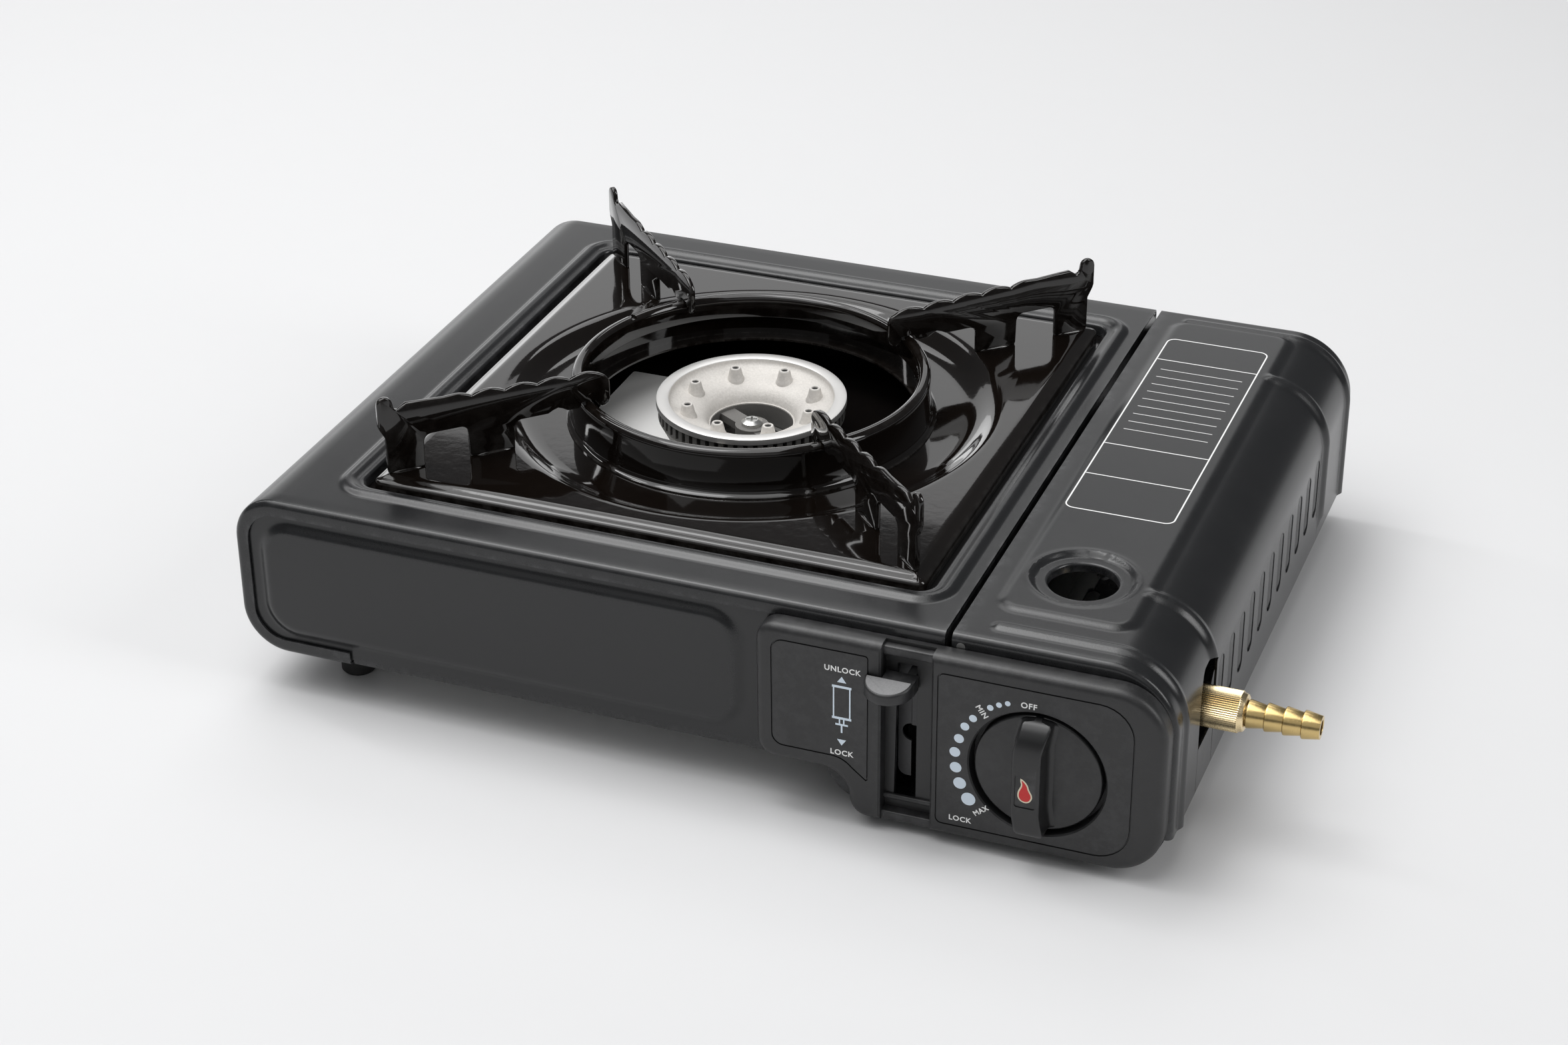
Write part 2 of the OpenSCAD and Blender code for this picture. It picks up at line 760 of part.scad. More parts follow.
module drive_pin() {
  color(ZINC) place() translate([lever_x - 1, drive_y, drive_z]) rotate([0, 90, 0])
    cylinder(r = drive_pin_r, h = ear_x + ear_t - lever_x + 1);
}

module slider_spring() {
  l = slider_front + panel_in - 0.6;
  color(ZINC) place() translate([ear_x + 14, -panel_in + 0.3, slider_z + 6.6]) rotate([-90, 0, 0])
    linear_extrude(l, twist = -360 * 5, slices = 90) translate([3.4, 0]) circle(0.5, $fn = 8);
}

module lever_guide() {
  right = lever_x + lever_t + 0.3;
  color(ZINC) place() {
    translate([channel_x - 2, lever_back + lap_gap, trough_in])
      cube([right - channel_x + 2, 1, plate_top - trough_in - 8]);
    translate([channel_x - 2, lever_back + lap_gap, trough_in])
      cube([right - channel_x + 2, 9, 1]);
  }
}

// Outline of the lever's plate in YZ: its rear shoulder passes under the well's ledge
module lever_outline() {
  front = -panel_in + 1.3;
  step_y = drive_y + 1.2;
  tang_z = tab_top - tab_t + tang_in;
  polygon([[front, plate_foot], [lever_back, plate_foot], [lever_back, plate_top - 14],
    [step_y, plate_top - 6], [step_y, plate_top], [front, plate_top], [front, tang_z + tang_h],
    [face_y - tang_l, tang_z + tang_h], [face_y - tang_l, tang_z], [front, tang_z]]);
}

module lever_plate() {
  slot_w = 2 * (drive_pin_r + drive_gap);
  slot_l = norm([lever_travel, slider_travel]);
  lean = atan(slider_travel / lever_travel);
  color(ZINC) place() translate([lever_x, 0, 0]) rotate([90, 0, 90]) linear_extrude(lever_t)
    difference() {
      lever_outline();
      translate([drive_y, drive_z]) rotate(lean) translate([0, slot_l / 2])
        obround(slot_w, slot_l + slot_w);
    }
}

module lever_tab() {
  mid = channel_x + 4.9;
  half = 9.8;
  r = (half * half + tab_reach * tab_reach) / (2 * tab_reach);
  back = face_y - 0.3;
  color(MOULD) place() difference() {
    translate([mid, back, tab_top - tab_t]) linear_extrude(tab_t) intersection() {
      translate([0, r - tab_reach]) circle(r);
      translate([-half, -tab_reach - 1]) square([2 * half, tab_reach + 1]);
    }
    translate([lever_x, face_y - tang_l, tab_top - tab_t + tang_in])
      cube([lever_t, tang_l, tang_h]);
  }
}

// ---- drip tray, wind ring and pan arms ----

module drip_tray() {
  flat_w = tray_w - 5;
  flat_d = tray_d - 5;
  border = 1.3;
  lip_t = 0.8;
  color(ENAMEL) place() {
    difference() {
      union() {
        translate([0, 0, tray_z - border])
          pressed_field(tray_w - 0.6, tray_d - 0.6, 5, border, 2.2);
        translate([0, 0, ledge_z]) linear_extrude(tray_z - border - ledge_z)
          rounded(tray_w, tray_d, 5);
      }
      translate([0, 0, tray_z - border - enamel])
        pressed_field(tray_w - 2 * lip_t, tray_d - 2 * lip_t, 4.2, border, 2.2);
      translate([0, 0, ledge_z - 1]) linear_extrude(tray_z - border - enamel - ledge_z + 1)
        rounded(tray_w - 2 * lip_t, tray_d - 2 * lip_t, 4.2);
      translate([0, 0, tray_z - 4]) cylinder(r = dish_r, h = 8);
    }
    rotate_extrude() dish_section();
  }
}

// Section of the round dish: rounded shoulder, slope and flat floor
module dish_section() {
  top = tray_z;
  low = dish_z;
  in = ring_r - 5.4;
  polygon([[dish_r, top], [dish_r - 1.2, top - 0.3], [dish_r - 2.4, top - 1.2],
    [dish_r - 6.2, low + 0.9], [dish_r - 7.6, low + 0.25], [dish_r - 9, low], [in, low],
    [in, low - enamel], [dish_r - 8.8, low - enamel], [dish_r - 7, low - 0.4],
    [dish_r - 5.4, low + 0.4], [dish_r - 1.8, top - 1.9], [dish_r - 0.8, top - 1.1],
    [dish_r, top - enamel]]);
}

module wind_ring() {
  mid = ring_r - rim_roll;
  roll_z = ring_top - rim_roll;
  t = enamel;
  color(ENAMEL) place() rotate_extrude() {
    translate([ring_r - t, dish_z]) square([t, roll_z - dish_z]);
    translate([ring_r - t, dish_z]) square([t + 2.2, t]);
    translate([ring_r - 2 * rim_roll, ring_top - ring_skirt])
      square([t, ring_skirt - rim_roll]);
    difference() {
      translate([mid, roll_z]) circle(rim_roll);
      translate([mid, roll_z]) circle(rim_roll - t);
      translate([mid - 2 * rim_roll, roll_z - 3 * rim_roll])
        square([4 * rim_roll, 3 * rim_roll]);
    }
  }
}

// Top edge of a pan arm: scallops, then a straight run up to the hook
scallop_start = ring_r - 8;
scallop_end = scallop_start + 4.5 * scallop_pitch;
function arm_edge(r) = arm_h + 0.035 * (r - scallop_start);
function scallop(r) = scallop_depth * abs(sin(180 * (r - scallop_start) / scallop_pitch));

// Outline of a pan arm: X is the distance from the burner's axis, Y the height over the tray
module arm_outline() {
  tip_r = 2.9;
  foot_out = min(arm_reach - 2.8, (tray_w / 2 - 4.6) * sqrt(2));
  step = scallop_pitch / 8;
  end_z = arm_edge(scallop_end) + scallop_depth;
  hook_z = end_z + 1.2;
  notch_z = ring_rise;
  in = ring_r - 5.2;
  difference() {
    union() {
      polygon(concat(
        [[in - 5.4, 11.5], [in - 3.6, 9.5], [foot_out, 9.5], [foot_out, 14],
          [arm_reach, 18.5], [arm_reach, hook_z], [arm_reach - 2 * tip_r, hook_z],
          [arm_reach - 2 * tip_r - 1.2, hook_z - 1.6], [arm_reach - 2 * tip_r - 3.2, hook_z - 0.2]],
        [for (r = [scallop_end:-step:scallop_start]) [r, arm_edge(r) + scallop(r)]],
        [[in - 4.4, arm_h - 1], [in - 5.4, arm_h - 3]]));
      translate([arm_reach - tip_r, hook_z]) circle(tip_r);
      translate([foot_out - 13.4, 0]) square([13.4, 14]);
      translate([foot_out - 47, 0]) square([16.6, 14]);
    }
    translate([foot_out - 30.4, -1]) square([17, 10.4]);
    translate([foot_out - 27.6, -1]) square([11.4, 13.2]);
    for (s = [0, 1]) translate([foot_out - 27.6 + 11.4 * s, 9.4]) circle(2.8);
    translate([in, 0]) square([5.6, notch_z]);
    translate([in + 5.5, 0]) square([foot_out - 47 - in - 5.5, 10.2]);
    translate([in + 14.6, 10.2]) circle(2);
  }
}

module pan_arm(angle) {
  color(ENAMEL) place() rotate([0, 0, angle]) translate([0, arm_t / 2, tray_z])
    rotate([90, 0, 0]) linear_extrude(arm_t) arm_outline();
}
module pan_arm_front_left() { pan_arm(225); }
module pan_arm_back_left() { pan_arm(135); }
module pan_arm_back_right() { pan_arm(45); }
module pan_arm_front_right() { pan_arm(315); }

// ---- burner ----

bracket_l = 72;
bracket_w = 36;
bracket_r = 8;
bracket_t = 1.2;
rivet_at = 28;
rivet_r = 1.6;
rivet_head_r = 2.6;

module burner_well() {
  w = 2 * well_half;
  d = w + tray_d - tray_w + 1;
  t = 0.7;
  color(ENAMEL) place() difference() {
    union() {
      translate([0, 0, ledge_z - t]) linear_extrude(t)
        rounded(open_w + 2 * sheet + 6, open_d + 2 * sheet + 6, open_r + 4);
      translate([0, 0, well_floor]) linear_extrude(ledge_z - t / 2 - well_floor)
        rounded(w + 2 * t, d + 2 * t, 16 + t);
    }
    translate([0, 0, well_floor + t]) linear_extrude(ledge_z - well_floor) rounded(w, d, 16);
    translate([0, 0, well_floor - 1]) cylinder(r = neck_r + 0.3, h = 4);
    translate([0, -head_r - 11, well_floor - 1]) cylinder(r = 2.6, h = 4);
    for (s = [-1, 1]) rotate([0, 0, mixer_angle + 90])
      translate([s * rivet_at, 0, well_floor - 1]) cylinder(r = rivet_r, h = 4);
  }
}

module burner_bracket() {
  color(ZINC) place() rotate([0, 0, mixer_angle + 90]) {
    difference() {
      translate([0, 0, well_floor - bracket_t]) linear_extrude(bracket_t) difference() {
        rounded(bracket_l, bracket_w, bracket_r);
        circle(neck_r + 0.3);
      }
      for (s = [-1, 1]) translate([s * rivet_at, 0, well_floor - 2])
        cylinder(r = rivet_r, h = 3);
    }
    for (s = [-1, 1]) translate([s * rivet_at, 0, well_floor]) {
      translate([0, 0, -bracket_t - 1]) cylinder(r = rivet_head_r, h = 1);
      translate([0, 0, -bracket_t]) cylinder(r = rivet_r, h = bracket_t + 0.7);
      translate([0, 0, 0.7]) cylinder(r = rivet_head_r, h = 1);
    }
  }
}

port_top = head_z - 2.2;
port_h = 5.2;
port_floor = port_top - port_h;
bar_angle = -31;

module burner_body() {
  seat = well_floor + 0.7;
  out = head_r - 0.7;
  wall = 2.2;
  in = bowl_hole_r - 1;
  neck_foot = mixer_z - mixer_r - 2.4;
  color(CAST) place() {
    difference() {
      union() {
        rotate_extrude() polygon([[in, seat + 4], [neck_r + 6, seat + 2], [neck_r + 9, seat + 2],
          [out - 4, port_floor - 8], [out - 1, port_floor - 2], [out, port_floor], [out, port_top],
          [out - wall, port_top], [out - wall, port_floor], [out - 6.4, port_floor - 7],
          [neck_r + 8, seat + 4.4], [in + 1.8, seat + 6], [in + 1.8, port_floor - 4],
          [in, port_floor - 4]]);
        translate([0, 0, neck_foot]) cylinder(r = neck_r, h = seat + 4 - neck_foot);
        rotate([0, 0, mixer_angle]) translate([0, 0, mixer_z]) rotate([0, 90, 0])
          cylinder(r = mixer_r + 1, h = boss_end);
        translate([0, 0, seat]) cylinder(r = neck_r + 8, h = 2.2);
      }
      translate([0, 0, neck_foot + 2]) cylinder(r = neck_r - 2, h = 40);
      rotate([0, 0, mixer_angle]) translate([0, 0, mixer_z]) rotate([0, 90, 0])
        cylinder(r = mixer_r - 1.6, h = neck_r + 5);
      for (i = [0:port_count - 1]) rotate([0, 0, 360 * i / port_count])
        translate([out - wall - 0.6, -port_w / 2, port_floor + 0.6])
          cube([wall + 2, port_w, port_h]);
    }
    difference() {
      rotate([0, 0, bar_angle]) translate([-in - 0.6, -3.2, port_floor - 8])
        cube([2 * in + 1.2, 6.4, 3]);
      translate([0, 0, port_floor - 12]) cylinder(r = 2, h = 20);
    }
    translate([0, 0, port_floor - 12]) difference() {
      cylinder(r = 6.2, h = 7.6);
      translate([0, 0, -1]) cylinder(r = 2, h = 12);
    }
  }
}

module burner_head() {
  rim_in = head_r - head_rim;
  hole = bowl_hole_r;
  low = head_z - bowl_depth;
  tip_z = head_z - 0.1;
  color(CAST) place() difference() {
    union() {
      rotate_extrude() polygon([[hole, low], [hole + 0.5, low + 0.8], [hole + 1.6, low + 1.9],
        [hole + 3.4, low + 3], [nozzle_ring_r, low + 4.1], [rim_in - 2, low + 5.4],
        [rim_in - 0.5, low + 6.6], [rim_in, low + 7.8], [rim_in, head_z - 0.4],
        [rim_in + 0.4, head_z], [head_r - 0.6, head_z], [head_r, head_z - 0.6], [head_r, port_top],
        [rim_in, port_top], [rim_in - 1, low + 5], [rim_in - 3, low + 3.4],
        [nozzle_ring_r, low + 2.2], [hole + 4, low + 1.1], [hole + 3, low - 1.6],
        [hole, low - 1.6]]);
      for (i = [0:nozzle_count - 1]) rotate([0, 0, 36 + 360 * i / nozzle_count])
        translate([nozzle_ring_r, 0, low + 3]) cylinder(r1 = 4.3, r2 = nozzle_tip_r, h = tip_z - low - 3);
    }
    for (i = [0:nozzle_count - 1]) rotate([0, 0, 36 + 360 * i / nozzle_count])
      translate([nozzle_ring_r, 0, low]) cylinder(r = 1.1, h = bowl_depth + 1);
  }
}

module burner_screw() {
  top = port_floor - 4.4;
  color(ZINC) place() difference() {
    union() {
      translate([0, 0, top - 9]) cylinder(r = 1.95, h = 9);
      translate([0, 0, top]) cylinder(r = 3.9, h = 1.2);
      translate([0, 0, top + 1.2]) cylinder(r1 = 3.9, r2 = 2.4, h = 0.9);
    }
    for (a = [0, 90]) rotate([0, 0, a + 20]) translate([-2, -0.4, top + 1])
      cube([4, 0.8, 2]);
  }
}

module mixer_tube() {
  start = boss_end;
  end = mixer_end;
  color(CAST) place() rotate([0, 0, mixer_angle]) translate([0, 0, mixer_z]) rotate([0, 90, 0])
    difference() {
      union() {
        translate([0, 0, start]) cylinder(r = mixer_r, h = end - start);
        translate([0, 0, end - 12]) cylinder(r = mixer_r + 1.8, h = 12);
      }
      translate([0, 0, start - 1]) cylinder(r = mixer_r - 1.6, h = end);
      for (a = [0, 90]) rotate([0, 0, a]) translate([0, 0, end - 7])
        rotate([90, 0, 0]) cylinder(r = 2.6, h = 40, center = true);
    }
}

module gas_jet() {
  color(BRASS) place() rotate([0, 0, mixer_angle]) translate([mixer_end, 0, mixer_z])
    rotate([0, 90, 0]) {
      cylinder(r = mixer_r + 1.8, h = 1.6);
      translate([0, 0, 1.6]) cylinder(r = 4.6, h = 6, $fn = 6);
      translate([0, 0, 7.6]) cylinder(r = 3.4, h = jet_end - mixer_end - 7.6);
    }
}

// Straight length of pipe between two points, with a ball joint on the first
module pipe(a, b, r) {
  d = b - a;
  translate(a) sphere(r + 0.4);
  translate(a) rotate([0, acos(d[2] / norm(d)), atan2(d[1], d[0])]) cylinder(r = r, h = norm(d));
}

module gas_feed_tube() {
  r = 2;
  union_l = 5;
  mid = jet_end + union_l / 2;
  start = [mid * cos(mixer_angle), mid * sin(mixer_angle), mixer_z];
  knee = [deck_right, -half_d + 31.6, mixer_z];
  drop = [deck_right + 9, -half_d + 25, knob_z];
  end = [knob_x - port_reach, -half_d + 25, knob_z];
  color(BRASS) place() {
    rotate([0, 0, mixer_angle]) translate([jet_end, 0, mixer_z]) rotate([0, 90, 0])
      cylinder(r = r + 1.2, h = union_l);
    pipe(start, knee, r);
    pipe(knee, drop, r);
    pipe(drop, end, r);
  }
}

module igniter_electrode() {
  floor_z = well_floor + 0.7;
  y = -head_r - 11;
  color(WHITE) place() {
    translate([0, y, well_floor - 8]) cylinder(r = 2.4, h = 8 + 0.7);
    translate([0, y, floor_z]) cylinder(r = 3.6, h = 10);
    translate([0, y, floor_z + 10]) cylinder(r1 = 3, r2 = 1.2, h = 4);
    translate([0, y, floor_z + 14]) cylinder(r = 0.7, h = 4.5);
    translate([0, y, floor_z + 18]) sphere(0.7);
    translate([0, y, floor_z + 18]) rotate([-90, 0, 0]) cylinder(r = 0.7, h = 7.5);
  }
}

// ---- gas valve and fitting ----

module piezo_igniter() {
  x = knob_x - 19;
  z = deck_z - 17;
  color(WHITE) place() {
    translate([x, -panel_in, z]) rotate([-90, 0, 0]) cylinder(r = 4.6, h = 26);
    translate([x, -panel_in + 26, z]) rotate([-90, 0, 0]) cylinder(r = 3.2, h = 6);
    translate([x - 6.5, -panel_in, z - 6.5]) cube([13, 1.6, 13]);
  }
}

module valve_body() {
  color(CAST) place() translate([knob_x, 0, knob_z]) rotate([-90, 0, 0]) difference() {
    union() {
      translate([0, 0, valve_front]) cylinder(r = valve_r - 2, h = valve_mid - valve_front);
      translate([0, 0, valve_mid]) cylinder(r = valve_r, h = valve_back - valve_mid);
      translate([-port_reach, -5, valve_mid + 4]) cube([4, 10, 12]);
    }
    translate([0, 0, valve_front - 1]) cylinder(r = stem_r + running, h = 21);
  }
}

module regulator() {
  flange_t = 4;
  flange_at = (regulator_l - flange_t) / 2;
  color(CAST) place() {
    translate([regulator_x, 0, regulator_z]) rotate([-90, 0, 0]) {
      translate([0, 0, valve_back]) cylinder(r = regulator_r - 2, h = flange_at);
      translate([0, 0, valve_back + flange_at]) cylinder(r = regulator_r, h = flange_t);
      translate([0, 0, valve_back + flange_at + flange_t])
        cylinder(r1 = regulator_r - 2, r2 = regulator_r - 6, h = flange_at);
      for (a = [30:60:330]) rotate([0, 0, a])
        translate([regulator_r - 3, 0, valve_back + flange_at + flange_t]) cylinder(r = 2, h = 1.8);
    }
    translate([regulator_x, fitting_y, fitting_z]) rotate([0, 90, 0])
      cylinder(r = 4.6, h = inlet_start - regulator_x);
  }
}

module cartridge_socket() {
  lip = socket_l / 3;
  key_w = 4;
  color(ZINC) place() translate([bay_x, 0, bay_z]) rotate([-90, 0, 0]) difference() {
    union() {
      translate([0, 0, regulator_back]) cylinder(r = socket_r - 2, h = socket_l - lip + eps);
      translate([0, 0, regulator_back + socket_l - lip]) cylinder(r = socket_r, h = lip);
      translate([-key_w / 2, -socket_r - key_w, regulator_back + 2])
        cube([key_w, 2 * key_w, socket_l - 2]);
    }
    translate([0, 0, regulator_back + 1.5]) cylinder(r = socket_in_r / 2, h = socket_l);
    translate([0, 0, regulator_back + socket_l / 2]) cylinder(r = socket_in_r, h = socket_l);
  }
}

module inlet_pipe() {
  color(BRASS) place() translate([0, fitting_y, fitting_z]) rotate([0, 90, 0]) difference() {
    union() {
      translate([0, 0, inlet_start]) cylinder(r = 3.9, h = 3);
      translate([0, 0, inlet_start + 2.6]) cylinder(r = 6.4, h = 5.4, $fn = 6);
      translate([0, 0, inlet_start + 7.6]) cylinder(r = thread_r - 0.3, h = inlet_end - inlet_start - 7.6);
    }
    translate([0, 0, inlet_start + 2]) cylinder(r = 2, h = 40);
  }
}

module inlet_seal() {
  color(RUBBER) place() translate([inlet_end, fitting_y, fitting_z]) rotate([0, 90, 0])
    difference() {
      cylinder(r = thread_r - 0.4, h = 1);
      translate([0, 0, -1]) cylinder(r = 2.2, h = 3);
    }
}

module hose_tail() {
  collar = inlet_end + 1;
  first = nut_end + 0.3;
  barb_l = (fit_end - first) / barb_count;
  barb_land = 0.7;
  root = barb_r - 0.9;
  color(BRASS) place() translate([0, fitting_y, fitting_z]) rotate([0, 90, 0]) difference() {
    union() {
      translate([0, 0, collar]) cylinder(r = thread_r - 0.3, h = 3);
      translate([0, 0, collar + 3]) cylinder(r = shank_r - 0.4, h = first - collar - 3);
      for (i = [0:barb_count - 1]) translate([0, 0, first + barb_l * i]) {
        cylinder(r = barb_r, h = barb_land);
        translate([0, 0, barb_land]) cylinder(r1 = barb_r, r2 = root, h = barb_l - barb_land);
      }
    }
    translate([0, 0, collar - 1]) cylinder(r = tail_bore_r, h = fit_end);
  }
}

module knurled_nut() {
  knurls = 44;
  color(BRASS) place() translate([0, fitting_y, fitting_z]) rotate([0, 90, 0]) difference() {
    union() {
      translate([0, 0, nut_start]) cylinder(r1 = nut_r - 0.8, r2 = nut_r, h = 0.8);
      translate([0, 0, nut_start + 0.8]) cylinder(r = nut_r, h = nut_l - 2.2);
      translate([0, 0, nut_end - 1.4]) cylinder(r1 = nut_r, r2 = nut_r - 1, h = 1.4);
    }
    for (i = [0:knurls - 1]) rotate([0, 0, 360 * i / knurls])
      translate([nut_r, 0, nut_start + 1]) rotate([0, 0, 45])
        translate([-0.22, -0.22, 0]) cube([0.44, 0.44, nut_l - 2.6]);
    translate([0, 0, nut_start - 1]) cylinder(r = thread_r, h = nut_l - 12);
    translate([0, 0, nut_start + 5]) cylinder(r = shank_r, h = nut_l);
  }
}

// ---- control panel ----

// Slab with round corners in XZ whose front edges are rounded, from the moulding's back
module soft_slab(x0, x1, z0, z1, r) {
  w = x1 - x0;
  h = z1 - z0;
  f = fascia_round;
  translate([(x0 + x1) / 2, fascia_back, (z0 + z1) / 2]) rotate([90, 0, 0]) hull() {
    linear_extrude(fascia_d - f) rounded(w, h, r, $fn = 32);
    for (a = [30:30:90]) linear_extrude(fascia_d - f + f * sin(a))
      rounded(w - 2 * f * (1 - cos(a)), h - 2 * f * (1 - cos(a)), max(r - f * (1 - cos(a)), 0.5), $fn = 32);
  }
}

// Curved foot that joins the left wing to the lever's channel, in XZ
module wing_curve() {
  right = channel_x + 1;
  r = (wing_foot - fascia_foot) / 2 + 1.2;
  difference() {
    translate([right - 2.3 * r, fascia_foot]) square([2.3 * r, wing_foot - fascia_foot + 4]);
    translate([right - 2.3 * r, wing_foot - r]) circle(r, $fn = 72);
    translate([right - 2.3 * r - 1, fascia_foot - 1]) square([r + 1, wing_foot - r - fascia_foot + 1]);
    difference() {
      translate([right - 1.3 * r - 1, fascia_foot - 1]) square([r, r]);
      translate([right - 0.3 * r, fascia_foot + r]) circle(r, $fn = 72);
    }
  }
}

module control_panel() {
  channel_end = channel_x + channel_w;
  slit_x = lever_x - 1;
  color(MOULD) place() {
    difference() {
      union() {
        soft_slab(fascia_left, channel_end - 4, wing_foot, fascia_top, 7);
        soft_slab(channel_x + 4, fascia_right, fascia_foot, fascia_top, fascia_r);
        soft_slab(channel_x - 4, channel_end + 12, fascia_foot, fascia_top, 3.2);
        facing_front(fascia_back) linear_extrude(fascia_d - 1) wing_curve();
      }
      // Channel of the lever, with its slit through the back
      facing_front(channel_back) linear_extrude(10) translate([channel_x, 0])
        square([channel_w, fascia_top + 5]);
      facing_front(fascia_back + 1) linear_extrude(12) {
        translate([slit_x, fascia_foot + 9]) square([lever_t + 2, fascia_top - fascia_foot - 16]);
        translate([slit_x, fascia_foot + 9]) square([lever_t + 4, 5]);
      }
      // Recess of the knob
      facing_front(fascia_back + 1) linear_extrude(12) translate([knob_x, knob_z])
        circle(knob_r + knob_gap);
      // Lines round the two printed fields
      facing_front(face_y + 0.5) linear_extrude(3) difference() {
        translate([(channel_end + 1.7 + fascia_right - 10.7) / 2, (fascia_foot + fascia_top - 2) / 2])
          rounded(fascia_right - channel_end - 12.4, fascia_top - fascia_foot - 9, 11);
        translate([(channel_end + 1.7 + fascia_right - 10.7) / 2, (fascia_foot + fascia_top - 2) / 2])
          rounded(fascia_right - channel_end - 13.6, fascia_top - fascia_foot - 10.2, 10.4);
      }
      // Pockets behind
      facing_front(fascia_back + 1) linear_extrude(5.2) difference() {
        translate([(fascia_left + channel_x) / 2 - 1, (wing_foot + fascia_top) / 2])
          rounded(channel_x - fascia_left - 7, fascia_top - wing_foot - 6, 4);
        for (p = panel_screw_at) translate(p) circle(4);
      }
      facing_front(fascia_back + 1) linear_extrude(6) for (p = panel_screw_at)
        translate(p) circle(1.4);
    }
    // Bars across the top and foot of the channel
    translate([channel_x - eps, channel_back - 2.4, fascia_top - 6.6])
      cube([channel_w + 2 * eps, 2.4 + eps, 4.8]);
    translate([channel_x - eps, channel_back - 3.4, fascia_foot])
      cube([channel_w + 2 * eps, 3.4 + eps, 3.2]);
  }
}

module panel_screws() {
  color(ZINC) place() for (p = panel_screw_at) translate([p[0], -panel_in, p[1]]) {
    rotate([-90, 0, 0]) cylinder(r = 2.8, h = 1.8);
    rotate([90, 0, 0]) cylinder(r = 1.4, h = 5.5);
  }
}

knob_front = face_y + 1;
grip_front = face_y - grip_h;

module valve_knob() {
  thick = fascia_back - 0.3 - knob_front;
  color(MOULD) place() translate([knob_x, 0, knob_z]) difference() {
    union() {
      facing_front(fascia_back - 0.3) cylinder(r = knob_r, h = thick - 0.8);
      facing_front(knob_front + 0.8) cylinder(r1 = knob_r, r2 = knob_r - 0.8, h = 0.8);
      intersection() {
        facing_front(knob_front + 0.5) cylinder(r = knob_r - 0.4, h = 30);
        translate([0, 0, -knob_r]) linear_extrude(2 * knob_r) grip_section();
        translate([-knob_r, 0, 0]) rotate([90, 0, 90]) linear_extrude(2 * knob_r) grip_side();
      }
    }
    translate([-4.2, grip_front - 1, -7.2]) cube([8.4, 1.4, 12]);
    facing_front(fascia_back) cylinder(r = stem_r, h = 4);
  }
}

// Section of the grip in XY, with its draft
module grip_section() {
  w = grip_w;
  polygon([[-w / 2 - 1.6, knob_front + 1], [w / 2 + 1.6, knob_front + 1],
    [w / 2 + 0.9, knob_front - 0.4], [w / 2, grip_front + 0.8], [w / 2 - 0.8, grip_front],
    [-w / 2 + 0.8, grip_front], [-w / 2, grip_front + 0.8], [-w / 2 - 0.9, knob_front - 0.4]]);
}

// Side of the grip in YZ: a round shoulder above and a blunt end below
module grip_side() {
  r = 6;
  top = knob_r - 0.6;
  translate([grip_front, -knob_r]) square([knob_front - grip_front + 1, 2 * knob_r - r - 1]);
  translate([grip_front + r, -knob_r]) square([knob_front - grip_front + 1 - r, top + knob_r]);
  translate([grip_front + r, top - r]) circle(r);
}

module knob_badge() {
  color(RED) place() translate([knob_x - 4.1, grip_front + 0.1, knob_z - 7.1])
    cube([8.2, 0.3, 11.8]);
}

module valve_stem() {
  color(BRASS) place() translate([knob_x, 0, knob_z]) rotate([-90, 0, 0])
    translate([0, 0, fascia_back - 4]) cylinder(r = stem_r, h = valve_front + 18 - fascia_back + 4);
}

// ---- feet and screws ----

module rubber_feet() {
  color(RUBBER) place() for (s = [-1, 1]) {
    translate([left_foot_x, s * foot_y, 0]) foot(foot_h);
    translate([right_foot_x, s * foot_y, 0]) foot(trough_foot);
  }
}

module foot(h) {
  difference() {
    union() {
      cylinder(r1 = foot_r - 0.8, r2 = foot_r, h = 1);
      translate([0, 0, 1]) cylinder(r = foot_r, h = h - 1);
    }
    translate([0, 0, max(h - 10, 2)]) cylinder(r = 1.9, h = 20);
  }
}

module foot_screws() {
  color(ZINC) place() for (s = [-1, 1]) {
    translate([left_foot_x, s * foot_y, pan_top]) screw(foot_h > 14 ? 11 : 8);
    translate([right_foot_x, s * foot_y, trough_in]) screw(sheet + trough_foot - 2.2);
  }
}

// Pan-headed screw, its head's underside on Z = 0
module screw(l) {
  translate([0, 0, -l]) cylinder(r = 1.9, h = l);
  cylinder(r = 3.2, h = 1);
  translate([0, 0, 1]) cylinder(r1 = 3.2, r2 = 2, h = 0.6);
}

main_shell();
front_panel();
back_panel();
bottom_pan();
bay_trough();
heat_shield();
burner_well();
burner_bracket();
burner_body();
burner_head();
burner_screw();
mixer_tube();
gas_jet();
gas_feed_tube();
igniter_electrode();
piezo_igniter();
valve_body();
regulator();
cartridge_socket();
inlet_pipe();
inlet_seal();
hose_tail();
control_panel();
lever_guide();
slider_spring();
hinge_pins();
rubber_feet();
foot_screws();
panel_screws();
drip_tray();
wind_ring();
pan_arm_front_left();
pan_arm_back_left();
pan_arm_back_right();
pan_arm_front_right();
cartridge_lid();
valve_knob();
knob_badge();
valve_stem();
lever_plate();
lever_tab();
cartridge_slider();
drive_pin();
knurled_nut();
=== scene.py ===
"""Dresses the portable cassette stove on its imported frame.

Sizes are in millimetres round the burner's axis, with the table at Z = 0. A piece is built there and
is moved to the frame's own origin, in metres, when it is finished.
"""

from __future__ import annotations

import logging
import math
from dataclasses import dataclass, field
from enum import Enum
from functools import cache, partial
from typing import Callable, Iterable, Sequence

import bmesh
import bpy
import numpy as np
from mathutils import Matrix, Vector

